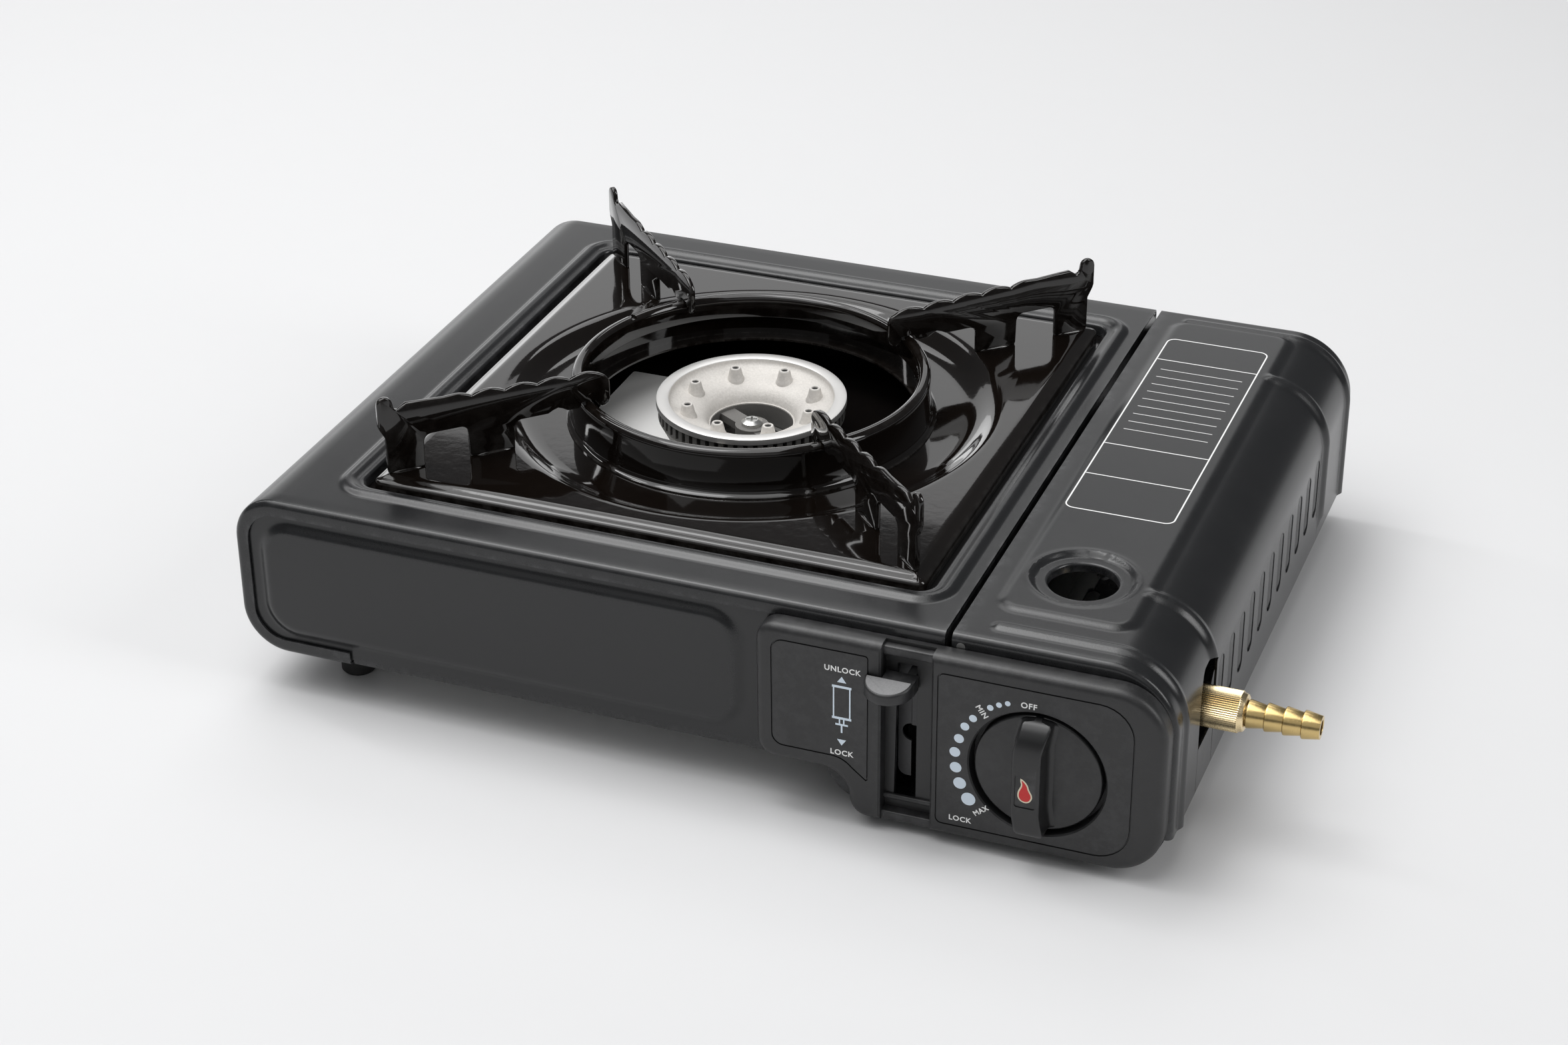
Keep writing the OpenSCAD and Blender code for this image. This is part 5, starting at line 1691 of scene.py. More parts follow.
@dataclass
class PanArms:
    """The four pressed arms that carry a pan.

    Attributes:
        thickness: Thickness of an arm.
        bearings: Angle and CAD node of each arm.
        run: First and last place of the scallops, from the burner's axis.
        pitch: Their spacing.
        depth: Their depth.
    """

    thickness: float = 2.0
    bearings: tuple[tuple[float, str], ...] = (
        (225.0, "pan_arm_front_left"),
        (135.0, "pan_arm_back_left"),
        (45.0, "pan_arm_back_right"),
        (315.0, "pan_arm_front_right"),
    )
    run: Flat = (58.2, 113.1)
    pitch: float = 12.2
    depth: float = 1.6

    def outline(self) -> list[Flat]:
        """Outline of an arm: distance from the burner's axis, and height over the tray.

        Returns:
            The outline, turning left.
        """
        out: list[Flat] = [(126.2, 0.0), (139.6, 0.0), (139.9, 2.0), (139.9, 13.6)]
        out += [(140.6, 14.9), (141.9, 17.4), (142.3, 18.8), (142.3, 26.1)]
        out += arc(139.4, 26.7, 2.88, 0, 168, 9)
        out += [(136.3, 25.4), (135.7, 24.4), (134.7, 24.0), (133.4, 24.9)]
        out += [(131.6, 26.1), (125.0, 25.7), (118.0, 25.3)]
        first, x = self.run
        while x > first:
            wave = self.depth * abs(math.sin(math.pi * (x - first) / self.pitch)) ** 0.8
            out.append((x, 22.0 + 0.035 * (x - first) + wave))
            x -= self.pitch / 10
        out += [(57.4, 21.6), (56.3, 20.4), (55.6, 18.8), (55.6, 12.4), (56.2, 10.6), (57.4, 9.5)]
        out += [(58.8, 9.3), (60.0, 10.0), (61.0, 11.6), (61.1, 12.4), (66.5, 12.4), (66.8, 11.0)]
        out += [(67.8, 10.2), (72.0, 10.4), (74.0, 11.6), (75.6, 12.2), (77.4, 11.6), (79.4, 10.6)]
        out += [(89.8, 10.6), (91.4, 10.0), (92.3, 8.4), (92.4, 0.0), (108.8, 0.0), (109.2, 1.0)]
        out += [(109.4, 9.0)]
        out += arc(112.4, 9.4, 3.0, 180, 90, 6) + arc(123.0, 9.4, 3.0, 90, 0, 6) + [(126.0, 1.0)]
        return clean(out)

    def weld(self, r: float, length: float, side: int) -> Draft:
        """Bead of weld along the foot of an arm that lies along X.

        Args:
            r: Distance of its middle from the burner's axis.
            length: Its length.
            side: Side of the arm: -1 or 1.

        Returns:
            The draft.
        """
        y, z = self.thickness / 2 - 0.2, TRAY_Z - 0.1
        rows = []
        for i in range(9):
            t = -1 + 2 * i / 8
            w = 0.75 * math.sqrt(max(1 - t**4, 0.02))
            x = r + t * length / 2
            turns = (math.pi * j / 5 for j in range(6))
            rows.append([(x, side * (y + w * math.cos(b)), z + w * math.sin(b)) for b in turns])
        return Draft().loft(rows)

    def build(self) -> None:
        """Builds and dresses the arms."""
        half = self.thickness / 2
        outline = [(r, TRAY_Z + z) for r, z in self.outline()]
        edges = ((-1.0, 0.45), (-0.82, 0.12), (-0.55, 0.0), (0.55, 0.0), (0.82, 0.12), (1.0, 0.45))
        rows = [loop(inset(outline, by), half * k, Along.Y) for k, by in edges]
        welds = Draft()
        for angle, node in self.bearings:
            turn = Matrix.Rotation(math.radians(angle), 4, "Z")
            arm = Draft().loft(rows).place(turn).solid(node.replace("_", " ").capitalize())
            finish_piece(arm, "trivet", "enamel", ENAMEL, [node], 38)
            for r, length in ((133.0, 11.0), (100.5, 13.0)):
                for side in (-1, 1):
                    welds.join(self.weld(r, length, side).place(turn))
        finish_piece(welds.solid("Arm welds"), "trivet", "enamel", ENAMEL, angle=60)


# ---------------------------------------------------------------- burner


@dataclass
class Burner:
    """The cast burner head.

    Attributes:
        radius: Outside radius of the head.
        top: Height of its rim.
        count: Number of nozzles.
        ring: Radius of the circle of nozzles.
        first: Bearing of the first nozzle, in degrees.
        land: Width of the rim.
    """

    radius: float = 35.3
    top: float = 80.25
    count: int = 8
    ring: float = 24.3
    first: float = 36.0
    land: float = 4.7

    def bowl(self) -> Draft:
        """Bowl of the head.

        Returns:
            The draft.
        """
        inner = self.radius - self.land
        section = [(inner, -0.35), (30.45, -1.2), (30.1, -1.9), (29.3, -2.5), (28.0, -3.2), (26.0, -3.95)]
        section += [(24.0, -4.55), (22.0, -5.15), (20.3, -5.8), (18.8, -6.7), (17.6, -7.8), (16.7, -9.1)]
        section += [(16.15, -10.4), (15.9, -11.0), (15.65, -10.85), (15.4, -11.0), (15.4, -11.9)]
        section += [(17.2, -11.9), (18.0, -9.6), (20.0, -7.6), (24.4, -5.9), (30.0, -3.9)]
        section += [(inner + 0.6, -3.0), (inner + 0.6, -0.35)]
        return Draft().revolve([(r, self.top + down) for r, down in section], 128)

    def rim(self) -> Draft:
        """Machined rim of the head.

        Returns:
            The draft.
        """
        r, top = self.radius, self.top
        inner = r - self.land
        profile = [(inner, top - 0.5), (inner + 0.15, top - 0.15), (inner + 0.5, top), (r - 0.5, top)]
        profile += [(r - 0.12, top - 0.15), (r, top - 0.5), (r, top - 2.15), (r - 0.2, top - 2.25)]
        return Draft().revolve(profile + [(inner, top - 2.25)], 192)

    def centres(self) -> list[Flat]:
        """Middles of the nozzles.

        Returns:
            Their places, in X and Y.
        """
        turns = [math.radians(self.first + 360 * i / self.count) for i in range(self.count)]
        return [(self.ring * math.cos(a), self.ring * math.sin(a)) for a in turns]

    def nozzles(self) -> Draft:
        """The nozzles, each with its gas hole.

        Returns:
            The draft.
        """
        tip = self.top - 0.1
        profile = [(1.2, tip - 6.2), (3.6, tip - 6.2), (3.5, tip - 5.0), (3.05, tip - 4.0), (2.75, tip - 3.2)]
        profile += [(2.15, tip - 0.5), (2.02, tip - 0.15), (1.85, tip), (1.3, tip), (1.2, tip - 0.15)]
        draft = Draft()
        for x, y in self.centres():
            draft.join(Draft().revolve(profile, 32).place(Matrix.Translation((x, y, 0))))
        return draft

    def bore_shade_discs(self) -> Draft:
        """Near-black discs a little way down the nozzles' gas holes: painted shade that stands in for the
        holes' depth.

        Returns:
            The draft.
        """
        draft = Draft()
        for x, y in self.centres():
            draft.join(prism(arc(x, y, 1.25, 0, 345, 23), self.top - 1.2, self.top - 0.55))
        return draft

    def build(self) -> None:
        """Builds and dresses the burner head."""
        dress = partial(finish_piece, body="stove", slot="cast_alloy", finish=CAST)
        dress(self.bowl().solid("Burner bowl"), stands_for=["burner_head"], angle=40)
        dress(self.rim().solid("Burner rim"), finish=MACHINED, angle=40)
        dress(self.nozzles().solid("Burner nozzles"), angle=40)
        dress(self.bore_shade_discs().solid("Nozzle bores"), finish=PAINTED_BORE_SHADE)


@dataclass
class WellPlate:
    """The bare plate on the well's floor, left of the burner.

    Attributes:
        left: Its left side.
        right: Its right side.
        front: Its front side.
        back: Its rear side.
        floor: Height of its underside.
        flange: Radius of the gap round the burner's flange.
    """

    left: float = -68.0
    right: float = -16.0
    front: float = -44.0
    back: float = 45.5
    floor: float = 56.75
    flange: float = 24.0

    def build(self) -> None:
        """Builds and dresses the plate."""
        outline = round_box(self.left, self.right, self.front, self.back, (3.0, 0.6, 0.6, 1.0), 4)
        plate = prism(outline, self.floor, self.floor + 0.35).solid("Well plate")
        carve(plate, prism(arc(0, 0, self.flange, 0, 355, 71), 50, 60))
        # The plate's near-white colour paints light into the well.
        finish_piece(plate, "stove", "zinc_steel", PAINTED_LIGHT_STEEL)


# ---------------------------------------------------------------- control panel


@dataclass
class ControlPanel:
    """The moulded panel with its lever channel, knob recess and printed marks.

    Attributes:
        left: Left end.
        right: Right end.
        top: Upper edge.
        foot: Lower edge.
        wing: Lower edge of the left wing.
        channel: Left and right sides of the lever's channel.
        recess: Radius of the knob's recess.
        edge: Rounding of the front edges.
        floor: Depth of the channel.
        corner: Radius of the corners at the right.
        wing_corner: Radius of the left wing's corners.
    """

    left: float = 55.5
    right: float = 196.3
    top: float = 73.0
    foot: float = 4.0
    wing: float = 20.7
    channel: Flat = (99.8, 117.3)
    recess: float = 23.3
    edge: float = 3.0
    floor: float = 5.4
    corner: float = 18.0
    wing_corner: float = 7.0

    def outline(self) -> list[Flat]:
        """Outline in XZ.

        Returns:
            The outline, turning left.
        """
        r, w = self.corner, self.wing_corner
        out = arc(self.left + w, self.wing + w, w, 180, 270, 8)
        out += list(reversed(arc(78.5, self.wing - 10.0, 10.0, 0, 90, 12)))
        out += arc(95.2, self.foot + 6.7, 6.7, 180, 270, 10)
        out += arc(self.right - r, self.foot + r, r, 270, 360, 16)
        out += arc(self.right - r, self.top - r, r, 0, 90, 16)
        return clean(out + arc(self.left + w, self.top - w, w, 90, 180, 8))

    def slab(self) -> Draft:
        """The slab with its rounded front edges.

        Returns:
            The draft.
        """
        outline = self.outline()
        rows = [loop(outline, FASCIA_BACK, Along.Y)]
        rows += [loop(inset(outline, by), FACE_Y + up, Along.Y) for by, up in quarter(self.edge, 7)]
        return Draft().loft(rows)

    def flared(self, outline: Sequence[Flat], floor: float, flare: float = 0.5) -> Draft:
        """Cutter with a chamfer where it leaves the panel's face.

        Args:
            outline: The cut's outline in XZ.
            floor: Depth that it reaches, as Y.
            flare: Width of the chamfer.

        Returns:
            The draft.
        """
        steps = ((floor, 0.0), (FACE_Y + flare, 0.0), (FACE_Y, -flare), (FACE_Y - 3, -flare - 0.001))
        return Draft().loft([loop(inset(outline, by), y, Along.Y) for y, by in steps])

    def groove(self, outline: Sequence[Flat], width: float = 0.7, depth: float = 0.45) -> Draft:
        """Cutter of a fine line along an outline.

        Args:
            outline: The line, in XZ.
            width: Width of the line.
            depth: Depth of the line.

        Returns:
            The draft.
        """
        steps = ((-0.5, -0.3), (-0.25, depth), (0.25, depth), (0.5, -0.3))
        return Draft().tube([loop(inset(outline, width * k), FACE_Y + y, Along.Y) for k, y in steps])

    def left_field(self) -> list[Flat]:
        """Line round the left printed field, in XZ.

        Returns:
            The outline, turning left.
        """
        left, right, low, high = 61.6, 95.5, 26.8, 67.9
        out = arc(left + 4, low + 4, 4.0, 180, 270, 6)
        out += list(reversed(arc(82.5, 16.8, 10.0, 42, 90, 6)))
        out += arc(right - 1.2, 20.5, 1.2, 300, 360, 3) + arc(right - 1.2, high - 1.2, 1.2, 0, 90, 3)
        return clean(out + arc(left + 4, high - 4, 4.0, 90, 180, 6))

    def body(self) -> bpy.types.Object:
        """Builds the moulding.

        Returns:
            The object, in millimetres.
        """
        panel = self.slab().solid("Control panel")
        channel = round_box(*self.channel, -8.0, 90.0, 0.6, 3)
        slit = [(103.0, 10.9), (110.7, 10.9), (110.7, 64.6), (103.9, 64.6)]
        right_field = round_box(119.6, 185.6, 9.0, 67.2, (2.0, 12.0, 12.0, 2.0), 8)
        carve(
            panel,
            self.flared(channel, FACE_Y + self.floor, 0.7),
            self.flared(arc(KNOB_X, KNOB_Z, self.recess, 0, 355, 71), FACE_Y + 6.2),
            prism(slit, -128, -136, Along.Y),
            self.groove(right_field),
            self.groove(self.left_field()),
        )
        return panel

    def bars(self) -> Draft:
        """Bars across the channel.

        Returns:
            The draft.
        """
        low, high = self.channel
        floor = FACE_Y + self.floor
        draft = Draft()
        for z0, z1, proud in ((68.3, 71.7, 2.8), (11.0, 13.0, 1.2), (4.2, 7.6, 3.6)):
            outline = round_box(floor - proud, floor + 0.2, z0, z1, (0.7, 0.1, 0.1, 0.7), 3)
            draft.join(prism(outline, low - 0.1, high + 0.1, Along.X))
        return draft

    def guide(self) -> bpy.types.Object:
        """Builds the steel guide seen through the slit, with its round hole.

        Returns:
            The object, in millimetres.
        """
        outline = arc(105.6, 20.4, 3.2, 180, 270, 8) + [(107.0, 17.2), (107.0, 62.0), (102.4, 62.0)]
        guide = prism(outline, -125.8, -126.6, Along.Y).solid("Slit guide")
        carve(guide, prism(arc(107.2, 34.6, 3.4, 0, 350, 35), -120, -130, Along.Y))
        return guide

    def build(self) -> None:
        """Builds and dresses the panel."""
        finish_piece(self.body(), "stove", "moulding", MOULDING, ["control_panel"], 28)
        finish_piece(self.guide(), "stove", "zinc_steel", GUIDE_STEEL)
        finish_piece(self.bars().solid("Channel bars"), "stove", "moulding", MOULDING)
        marks = Marks()
        finish_piece(marks.draft().solid("Dial marks"), "stove", "moulding", PRINT_BLUE)
        marks.words()


@dataclass
class Marks:
    """Printed marks of the control panel, in XZ on its face.

    Attributes:
        dots: Place and radius of each dot, growing towards the strongest flame.
        texts: Word, place, height and turn in degrees.
        plane: The face, as Y.
        middle: Middle of the lever's marks, as X.
        body: Size of a font with capitals 1 mm high.
    """

    dots: tuple[tuple[float, float, float], ...] = (
        (143.2, 60.7, 0.95), (140.3, 59.5, 1.0), (137.4, 57.8, 1.1), (131.7, 52.4, 1.35), (129.0, 48.7, 1.5),
        (127.1, 43.6, 1.7), (125.8, 38.1, 1.85), (126.2, 32.2, 2.0), (127.7, 26.3, 2.2), (130.8, 20.7, 2.45),
    )
    texts: tuple[tuple[str, float, float, float, float], ...] = (
        ("OFF", 150.3, 61.2, 2.15, 0.0), ("MIN", 134.6, 55.6, 2.0, -52.0), ("MAX", 135.2, 17.0, 1.9, 38.0),
        ("LOCK", 128.0, 12.0, 2.0, 0.0), ("UNLOCK", 86.6, 60.8, 2.1, 0.0), ("LOCK", 86.4, 28.4, 2.1, 0.0),
    )
    plane: float = FACE_Y - 0.03
    middle: float = 86.4
    body: float = 1.36

    def draft(self) -> Draft:
        """Dots, arrows and the plain cartridge outline.

        Returns:
            The draft.
        """
        mid = self.middle
        outlines = [arc(x, z, r, 0, 348, 29) for x, z, r in self.dots]
        outlines.append([(mid - 1.6, 56.0), (mid + 1.6, 56.0), (mid, 58.3)])
        outlines.append([(mid + 1.6, 33.7), (mid - 1.6, 33.7), (mid, 31.4)])
        for left, right, low, high in (
            (-3.4, 3.4, 53.8, 54.7), (-3.4, 3.4, 41.6, 42.5), (-3.1, -2.6, 42.5, 53.8),
            (2.6, 3.1, 42.5, 53.8), (-2.2, 2.2, 39.2, 39.9), (-1.0, -0.5, 39.9, 41.6),
            (0.5, 1.0, 39.9, 41.6), (-0.3, 0.3, 36.4, 39.2),
        ):
            outlines.append(rect(mid + left, mid + right, low, high))
        draft = Draft()
        for outline in outlines:
            draft.join(prism(outline, self.plane + 0.06, self.plane, Along.Y))
        return draft

    def words(self) -> None:
        """Builds and dresses the words of the dial and the lever."""
        for i, (word, x, z, height, turn) in enumerate(self.texts):
            data = bpy.data.curves.new(f"Word {i}", "FONT")
            data.body = word
            data.size = height * self.body
            data.align_x = "CENTER"
            data.align_y = "CENTER"
            data.extrude = 0.02
            data.offset = 0.07
            data.space_character = 1.12
            data.resolution_u = 4
            text = add_object(f"Word {i}", data)
            bpy.context.view_layer.update()
            mesh = bpy.data.meshes.new_from_object(text.evaluated_get(bpy.context.evaluated_depsgraph_get()))
            bpy.data.objects.remove(text)
            spin = Matrix.Rotation(math.radians(turn), 4, "Z")
            mesh.transform(Facing.FRONT.matrix((x, self.plane + 0.01, z)) @ spin)
            finish_piece(add_object(f"Word {word.lower()} {i}", mesh), "stove", "moulding", PRINT_WHITE)


@dataclass
class Knob:
    """The turning knob with its grip and badge.

    Attributes:
        radius: Radius of the disc.
        face: Disc's face, as Y.
        grip: Grip's front, as Y.
        width: Width of the grip.
        aside: Grip's middle, from the disc's middle.
        pocket: Depth of the badge's pocket.
    """

    radius: float = 21.8
    face: float = -136.8
    grip: float = -145.6
    width: float = 10.0
    aside: float = -1.6
    pocket: float = 0.35

    def disc(self) -> Draft:
        """The plain disc with its rounded edge.

        Returns:
            The draft.
        """
        foot = FASCIA_BACK - 0.3
        r, h = self.radius, foot - self.face
        edge = [(r, h - 0.9), (r - 0.12, h - 0.5), (r - 0.4, h - 0.15), (r - 0.8, h)]
        draft = Draft().revolve([(0, 0), (r, 0)] + edge + [(0, h)], 160)
        return draft.place(Facing.FRONT.matrix((KNOB_X, foot, KNOB_Z)))

    def section(self, limit: float) -> list[Flat]:
        """Half of the grip's section: place from its middle and height over the disc's face.

        Args:
            limit: Half of the disc's width where the section lies.

        Returns:
            The points, from the disc up to the middle of the grip's front.
        """
        half, rise, fillet = self.width / 2, self.face - self.grip, 3.2
        reach = min(fillet, max(limit - half - 0.1, 0.05))
        out: list[Flat] = [(half + reach, -0.3)]
        for i in range(9):
            a = math.radians(90 * i / 8)
            out.append((half + reach * (1 - math.sin(a)), fillet * (1 - math.cos(a))))
        out += [(half - 0.1, rise - 2.6), (half - 0.15, rise - 1.0)]
        out += [(half - 0.95 + x, rise - 0.8 + y) for x, y in arc(0, 0, 0.8, 0, 90, 5)]
        return out + [(half - 1.4, rise), (half - 2.2, rise), (0.0, rise)]

    def handle(self) -> bpy.types.Object:
        """Builds the grip across the disc.

        Returns:
            The object, in millimetres.
        """
        stations = [(-20.0, 0.0, 1.6), (-19.8, 0.25, 0.8), (-19.4, 0.5, 0.3), (-18.8, 0.7, 0.05)]
        stations += [(-18.1, 0.85, 0.0), (-17.3, 0.95, 0.0), (-16.4, 1.0, 0.0), (-15.0, 1.0, 0.0)]
        stations += [(z, 1.0, 0.0) for z in (-11.0, -4.0, 3.0, 7.5, 8.3)]
        for i in range(1, 15):
            a = math.radians(90 * i / 14)
            stations.append((8.3 + 13.4 * math.sin(a), math.cos(a) ** 0.9, 0.0))
        rise = self.face - self.grip
        rows = []
        for z, high, pinch in stations:
            limit = math.sqrt(max((self.radius - 0.4) ** 2 - z * z, 0.01))
            half = self.section(limit)
            top = rise * high if z > 0 else rise - 1.7 * (1 - high) ** 1.5
            row = []
            for x, h in half + [(-x, h) for x, h in reversed(half[:-1])]:
                share = max(h, 0.0) / rise
                wide = x - math.copysign(min(pinch, abs(x)), x)
                if z > 0:
                    wide = math.copysign(min(abs(wide), max(limit, 1.2)), wide)
                lean = self.aside * min(max((20.0 - abs(z)) / 8.0, 0.0), 1.0)
                row.append((KNOB_X + lean + wide, self.face + 0.3 - share * (top + 0.3), KNOB_Z + z))
            rows.append(row)
        handle = Draft().loft(rows).solid("Knob grip")
        mid = KNOB_X + self.aside
        pocket = round_box(mid - 3.5, mid + 3.5, KNOB_Z - 8.6, KNOB_Z + 3.9, 0.9, 5)
        steps = ((self.pocket, 0.0), (0.08, 0.0), (-2.0, -0.3))
        rows = [loop(inset(pocket, by), self.grip + y, Along.Y) for y, by in steps]
        carve(handle, Draft().loft(rows))
        return handle

    def flame(self, grow: float, y: float, thick: float) -> Draft:
        """Plain flame on the badge.

        Args:
            grow: Distance that its outline is moved outward.
            y: Its face.
            thick: Its thickness.

        Returns:
            The draft.
        """
        shape = [(0.1, -4.7), (1.2, -4.3), (1.95, -3.3), (2.15, -2.0), (1.95, -0.6), (1.5, 0.6), (1.1, 1.7)]
        shape += [(1.0, 2.9), (1.25, 4.4), (0.2, 3.4), (-0.5, 2.2), (-0.85, 0.9), (-1.3, -0.2), (-1.9, -1.4)]
        shape += [(-2.05, -2.7), (-1.5, -4.0), (-0.7, -4.6)]
        curve: list[Flat] = []
        n = len(shape)
        for i in range(n):
            near = [shape[(i + k) % n] for k in (-1, 0, 1, 2)]
            for t in (0.0, 0.33, 0.67):
                across, up = (
                    b + ((c - a) * t + (2 * a - 5 * b + 4 * c - d) * t**2 + (3 * (b - c) + d - a) * t**3) / 2
                    for a, b, c, d in zip(*near)
                )
                curve.append((KNOB_X + self.aside - 0.95 * across, KNOB_Z - 2.0 + 0.86 * up))
        curve.reverse()
        return prism(inset(curve, -grow), y + thick, y, Along.Y)

    def build(self) -> None:
        """Builds and dresses the knob."""
        finish_piece(self.disc().solid("Knob disc"), "knob", "moulding", KNOB_PLASTIC, ["valve_knob"], 35)
        finish_piece(self.handle(), "knob", "moulding", KNOB_PLASTIC, angle=50)
        floor = self.grip + self.pocket
        edge = self.flame(0.5, floor - 0.08, 0.1).solid("Badge edge")
        finish_piece(edge, "knob", "badge", BADGE_CREAM, ["knob_badge"])
        finish_piece(self.flame(0.0, floor - 0.14, 0.1).solid("Badge flame"), "knob", "badge", BADGE_RED)


@dataclass
class LeverTab:
    """The thumb tab of the cartridge lever.

    Attributes:
        middle: Its middle along X.
        half: Half of its width.
        reach: How far it stands out of the panel.
        low: Its underside.
        top: Its top, at the back.
        fall: How much lower its top is at the front.
        back: Its rear, which clears the panel's face, as Y.
    """

    middle: float = 103.1
    half: float = 8.3
    reach: float = 8.9
    low: float = 56.0
    top: float = 61.75
    fall: float = 1.6
    back: float = FACE_Y - 0.3

    def crown(self, y: float) -> float:
        """Height of the tab's top at a place along Y.

        Args:
            y: The place.

        Returns:
            The height.
        """
        return self.top - self.fall * (self.back - y) / self.reach

    def build(self) -> None:
        """Builds and dresses the tab."""
        r = (self.half**2 + self.reach**2) / (2 * self.reach)
        span = math.degrees(math.asin(min(self.half / r, 1.0)))
        if self.reach > r:
            span = 180 - span
        left, right = self.middle - self.half, self.middle + self.half
        front = arc(self.middle, self.back + r - self.reach, r, -90 - span, -90 + span, 28)
        outline = clean(front + [(right - 0.6, self.back), (left + 0.6, self.back)])
        rows = [loop(inset(outline, by), self.low + up) for by, up in reversed(quarter(1.1, 4))]
        for by, down in quarter(0.9, 4):
            rows.append([(x, y, self.crown(y) - down) for x, y in inset(outline, by)])
        tab = Draft().loft(rows).solid("Lever thumb tab")
        finish_piece(tab, "lever", "moulding", MOULDING, ["lever_tab"], 40)
        # The top facet takes a paler plastic: painted light on the tab's top.
        inner = inset(outline, 0.75)
        painted_light_top = Draft().loft([[(x, y, self.crown(y) + rise) for x, y in inner] for rise in (-0.25, 0.05)])
        finish_piece(painted_light_top.solid("Lever tab facet"), "lever", "moulding", TAB_TOP_PAINTED_LIGHT)
        stem = prism(round_box(100.4, right, self.back - 0.1, FACE_Y + 4.9, 0.4, 3), 56.2, 61.3)
        finish_piece(stem.solid("Lever tab stem"), "lever", "moulding", MOULDING)


# ---------------------------------------------------------------- gas fitting


@dataclass
class GasFitting:
    """The knurled nut and barbed tail at the stove's right side.

    Attributes:
        start: Nut's left end.
        end: Nut's right end.
        radius: Nut's outside radius.
        knurls: Number of teeth.
        tip: End of the tail.
        barbs: Number of barbs.
        bore: Radius of the nut's bore.
        tooth: Depth of the teeth.
    """

    start: float = 189.0
    end: float = 211.0
    radius: float = 7.1
    knurls: int = 58
    tip: float = 236.0
    barbs: int = 4
    bore: float = 4.7
    tooth: float = 0.36

    def nut(self) -> Draft:
        """Knurled nut.

        Returns:
            The draft.
        """
        sides = self.knurls * 6
        start, end, r = self.start, self.end, self.radius
        stations = [(start, r - 1.0, 0.0), (start + 0.5, r - 0.3, 0.0), (start + 0.9, r - 0.05, 0.4)]
        stations += [(start + 1.3, r, 1.0), (end - 2.4, r, 1.0), (end - 2.0, r - 0.02, 0.5)]
        stations += [(end - 1.7, r - 0.35, 0.0), (end - 0.9, r - 0.55, 0.0), (end - 0.3, r - 0.8, 0.0)]
        stations += [(end, r - 1.3, 0.0), (end, 4.4, 0.0), (end - 8.0, 4.4, 0.0)]
        stations += [(end - 13.0, self.bore, 0.0), (start, self.bore, 0.0)]
        rows = []
        for x, radius, cut in stations:
            row = []
            for i in range(sides):
                a = 2 * math.pi * i / sides
                reach = radius - self.tooth * cut * (1 - abs(((i % 6) / 3.0) - 1.0))
                row.append((x, FITTING_Y + reach * math.cos(a), FITTING_Z + reach * math.sin(a)))
            rows.append(row)
        return Draft().tube(rows)

    def tail(self) -> Draft:
        """Barbed hose tail.

        Returns:
            The draft.
        """
        first = self.end + 0.3
        pitch = (self.tip - first) / self.barbs
        profile = [(2.6, 194.0), (4.4, 194.0), (4.4, 196.8), (4.0, 197.0), (4.0, first)]
        for i in range(self.barbs):
            x = first + pitch * i
            profile += [(4.55, x + 0.05), (4.85, x + 0.3), (4.9, x + 0.7)]
            profile += [(4.02, x + pitch - 0.35), (3.95, x + pitch - 0.02)]
        profile += [(3.7, self.tip), (2.75, self.tip), (2.6, self.tip - 0.15)]
        return Draft().revolve(profile, 64).place(Facing.RIGHT.matrix((0, FITTING_Y, FITTING_Z)))

    def build(self) -> None:
        """Builds and dresses the fitting."""
        finish_piece(self.nut().solid("Knurled nut"), "nut", "brass", PALE_BRASS, ["knurled_nut"], 24)
        finish_piece(self.tail().solid("Hose tail"), "stove", "brass", BRASS, ["hose_tail"], 40)


# ---------------------------------------------------------------- slider's spring


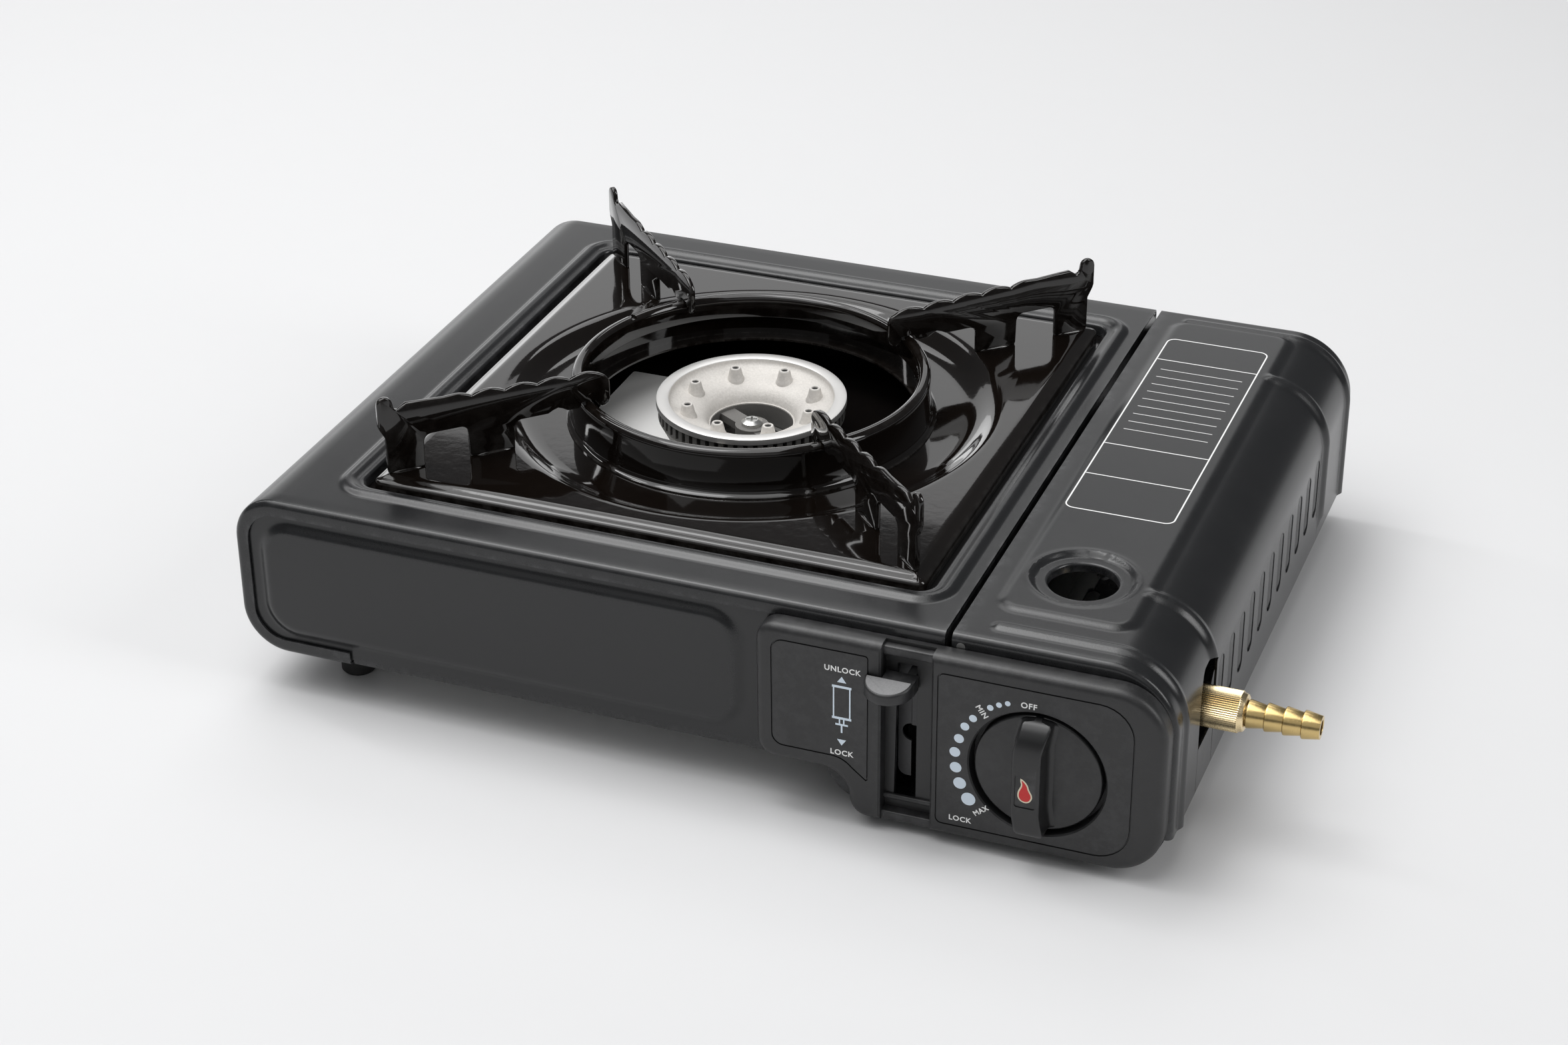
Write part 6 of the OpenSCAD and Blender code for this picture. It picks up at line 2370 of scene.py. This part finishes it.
@dataclass
class SliderSpring:
    """The coil that pushes the cartridge slider back; it is built at one length, though the real one shortens
    as the slider comes forward.

    Attributes:
        middle: X of the coil's axis.
        height: Z of the coil's axis.
        radius: Radius of the coil, to the middle of the wire.
        wire: Radius of the wire.
        turns: Number of turns.
        front: Front end, on the front panel.
        back: Back end, on the slider.
        travel: How far the slider comes forward; not used.
        sides: Number of steps in a turn.
    """

    middle: float = 125.3
    height: float = 12.7
    radius: float = 3.4
    wire: float = 0.5
    turns: int = 5
    front: float = -127.3
    back: float = -114.8
    travel: float = 6.0
    sides: int = 24

    def build(self) -> None:
        """Builds and dresses the coil."""
        steps = self.sides * self.turns
        rows = []
        for i in range(steps + 1):
            a = math.tau * i / self.sides
            y = self.front + (self.back - self.front) * i / steps
            ring = [(self.radius + r, y + h) for r, h in arc(0, 0, self.wire, 0, 315, 7)]
            rows.append([(self.middle + r * math.cos(a), h, self.height + r * math.sin(a)) for r, h in ring])
        coil = Draft().loft(rows).solid("Slider spring")
        spring = finish_piece(coil, "slider", "zinc_steel", ZINC, ["slider_spring"], 50)
        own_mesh(spring)


# ---------------------------------------------------------------- pieces kept from the CAD


@dataclass
class KeptPieces:
    """CAD nodes that show as they are, with a finish of their own.

    Attributes:
        finishes: Finish of each node.
    """

    finishes: dict[str, Finish] = field(
        default_factory=lambda: {
            "bottom_pan": ZINC, "bay_trough": POWDER, "heat_shield": ZINC, "burner_well": WELL_ENAMEL,
            # burner_body's darkened cast colour is painted shade inside the burner.
            # burner_bracket's near-white colour is painted light on a part in the bowl's shade.
            "burner_bracket": PAINTED_LIGHT_STEEL, "burner_body": PAINTED_SHADE_CAST, "burner_screw": ZINC, "mixer_tube": CAST,
            "gas_jet": BRASS, "gas_feed_tube": BRASS, "igniter_electrode": CERAMIC, "piezo_igniter": CERAMIC,
            "valve_body": CAST, "regulator": CAST, "cartridge_socket": ZINC, "inlet_pipe": BRASS,
            "inlet_seal": RUBBER, "lever_guide": PLATE_STEEL, "hinge_pins": ZINC,
            "rubber_feet": RUBBER, "foot_screws": ZINC, "panel_screws": ZINC, "valve_stem": BRASS,
            "lever_plate": PLATE_STEEL, "cartridge_slider": PLATE_STEEL, "drive_pin": PLATE_STEEL,
        }
    )

    def build(self, nodes: dict[str, bpy.types.Object]) -> None:
        """Dresses the nodes.

        Args:
            nodes: CAD objects by name.
        """
        for name, finish in self.finishes.items():
            thing = nodes[name]
            material = finish.material()
            if not thing.data.materials:
                thing.data.materials.append(material)
            for i in range(len(thing.data.materials)):
                thing.data.materials[i] = material
            LOG.info("%s: kept, %s", name, finish.name)


def main() -> None:
    """Builds the studio and every sub-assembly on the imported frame."""
    logging.basicConfig(level=logging.INFO, format="%(name)s: %(message)s")
    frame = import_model()
    Studio().build()
    SteelBody().build()
    CartridgeLid().build()
    DripTray().build()
    WindRing().build()
    PanArms().build()
    Burner().build()
    WellPlate().build()
    ControlPanel().build()
    Knob().build()
    LeverTab().build()
    GasFitting().build()
    SliderSpring().build()
    KeptPieces().build(frame["nodes"])


if __name__ == "__main__":
    main()
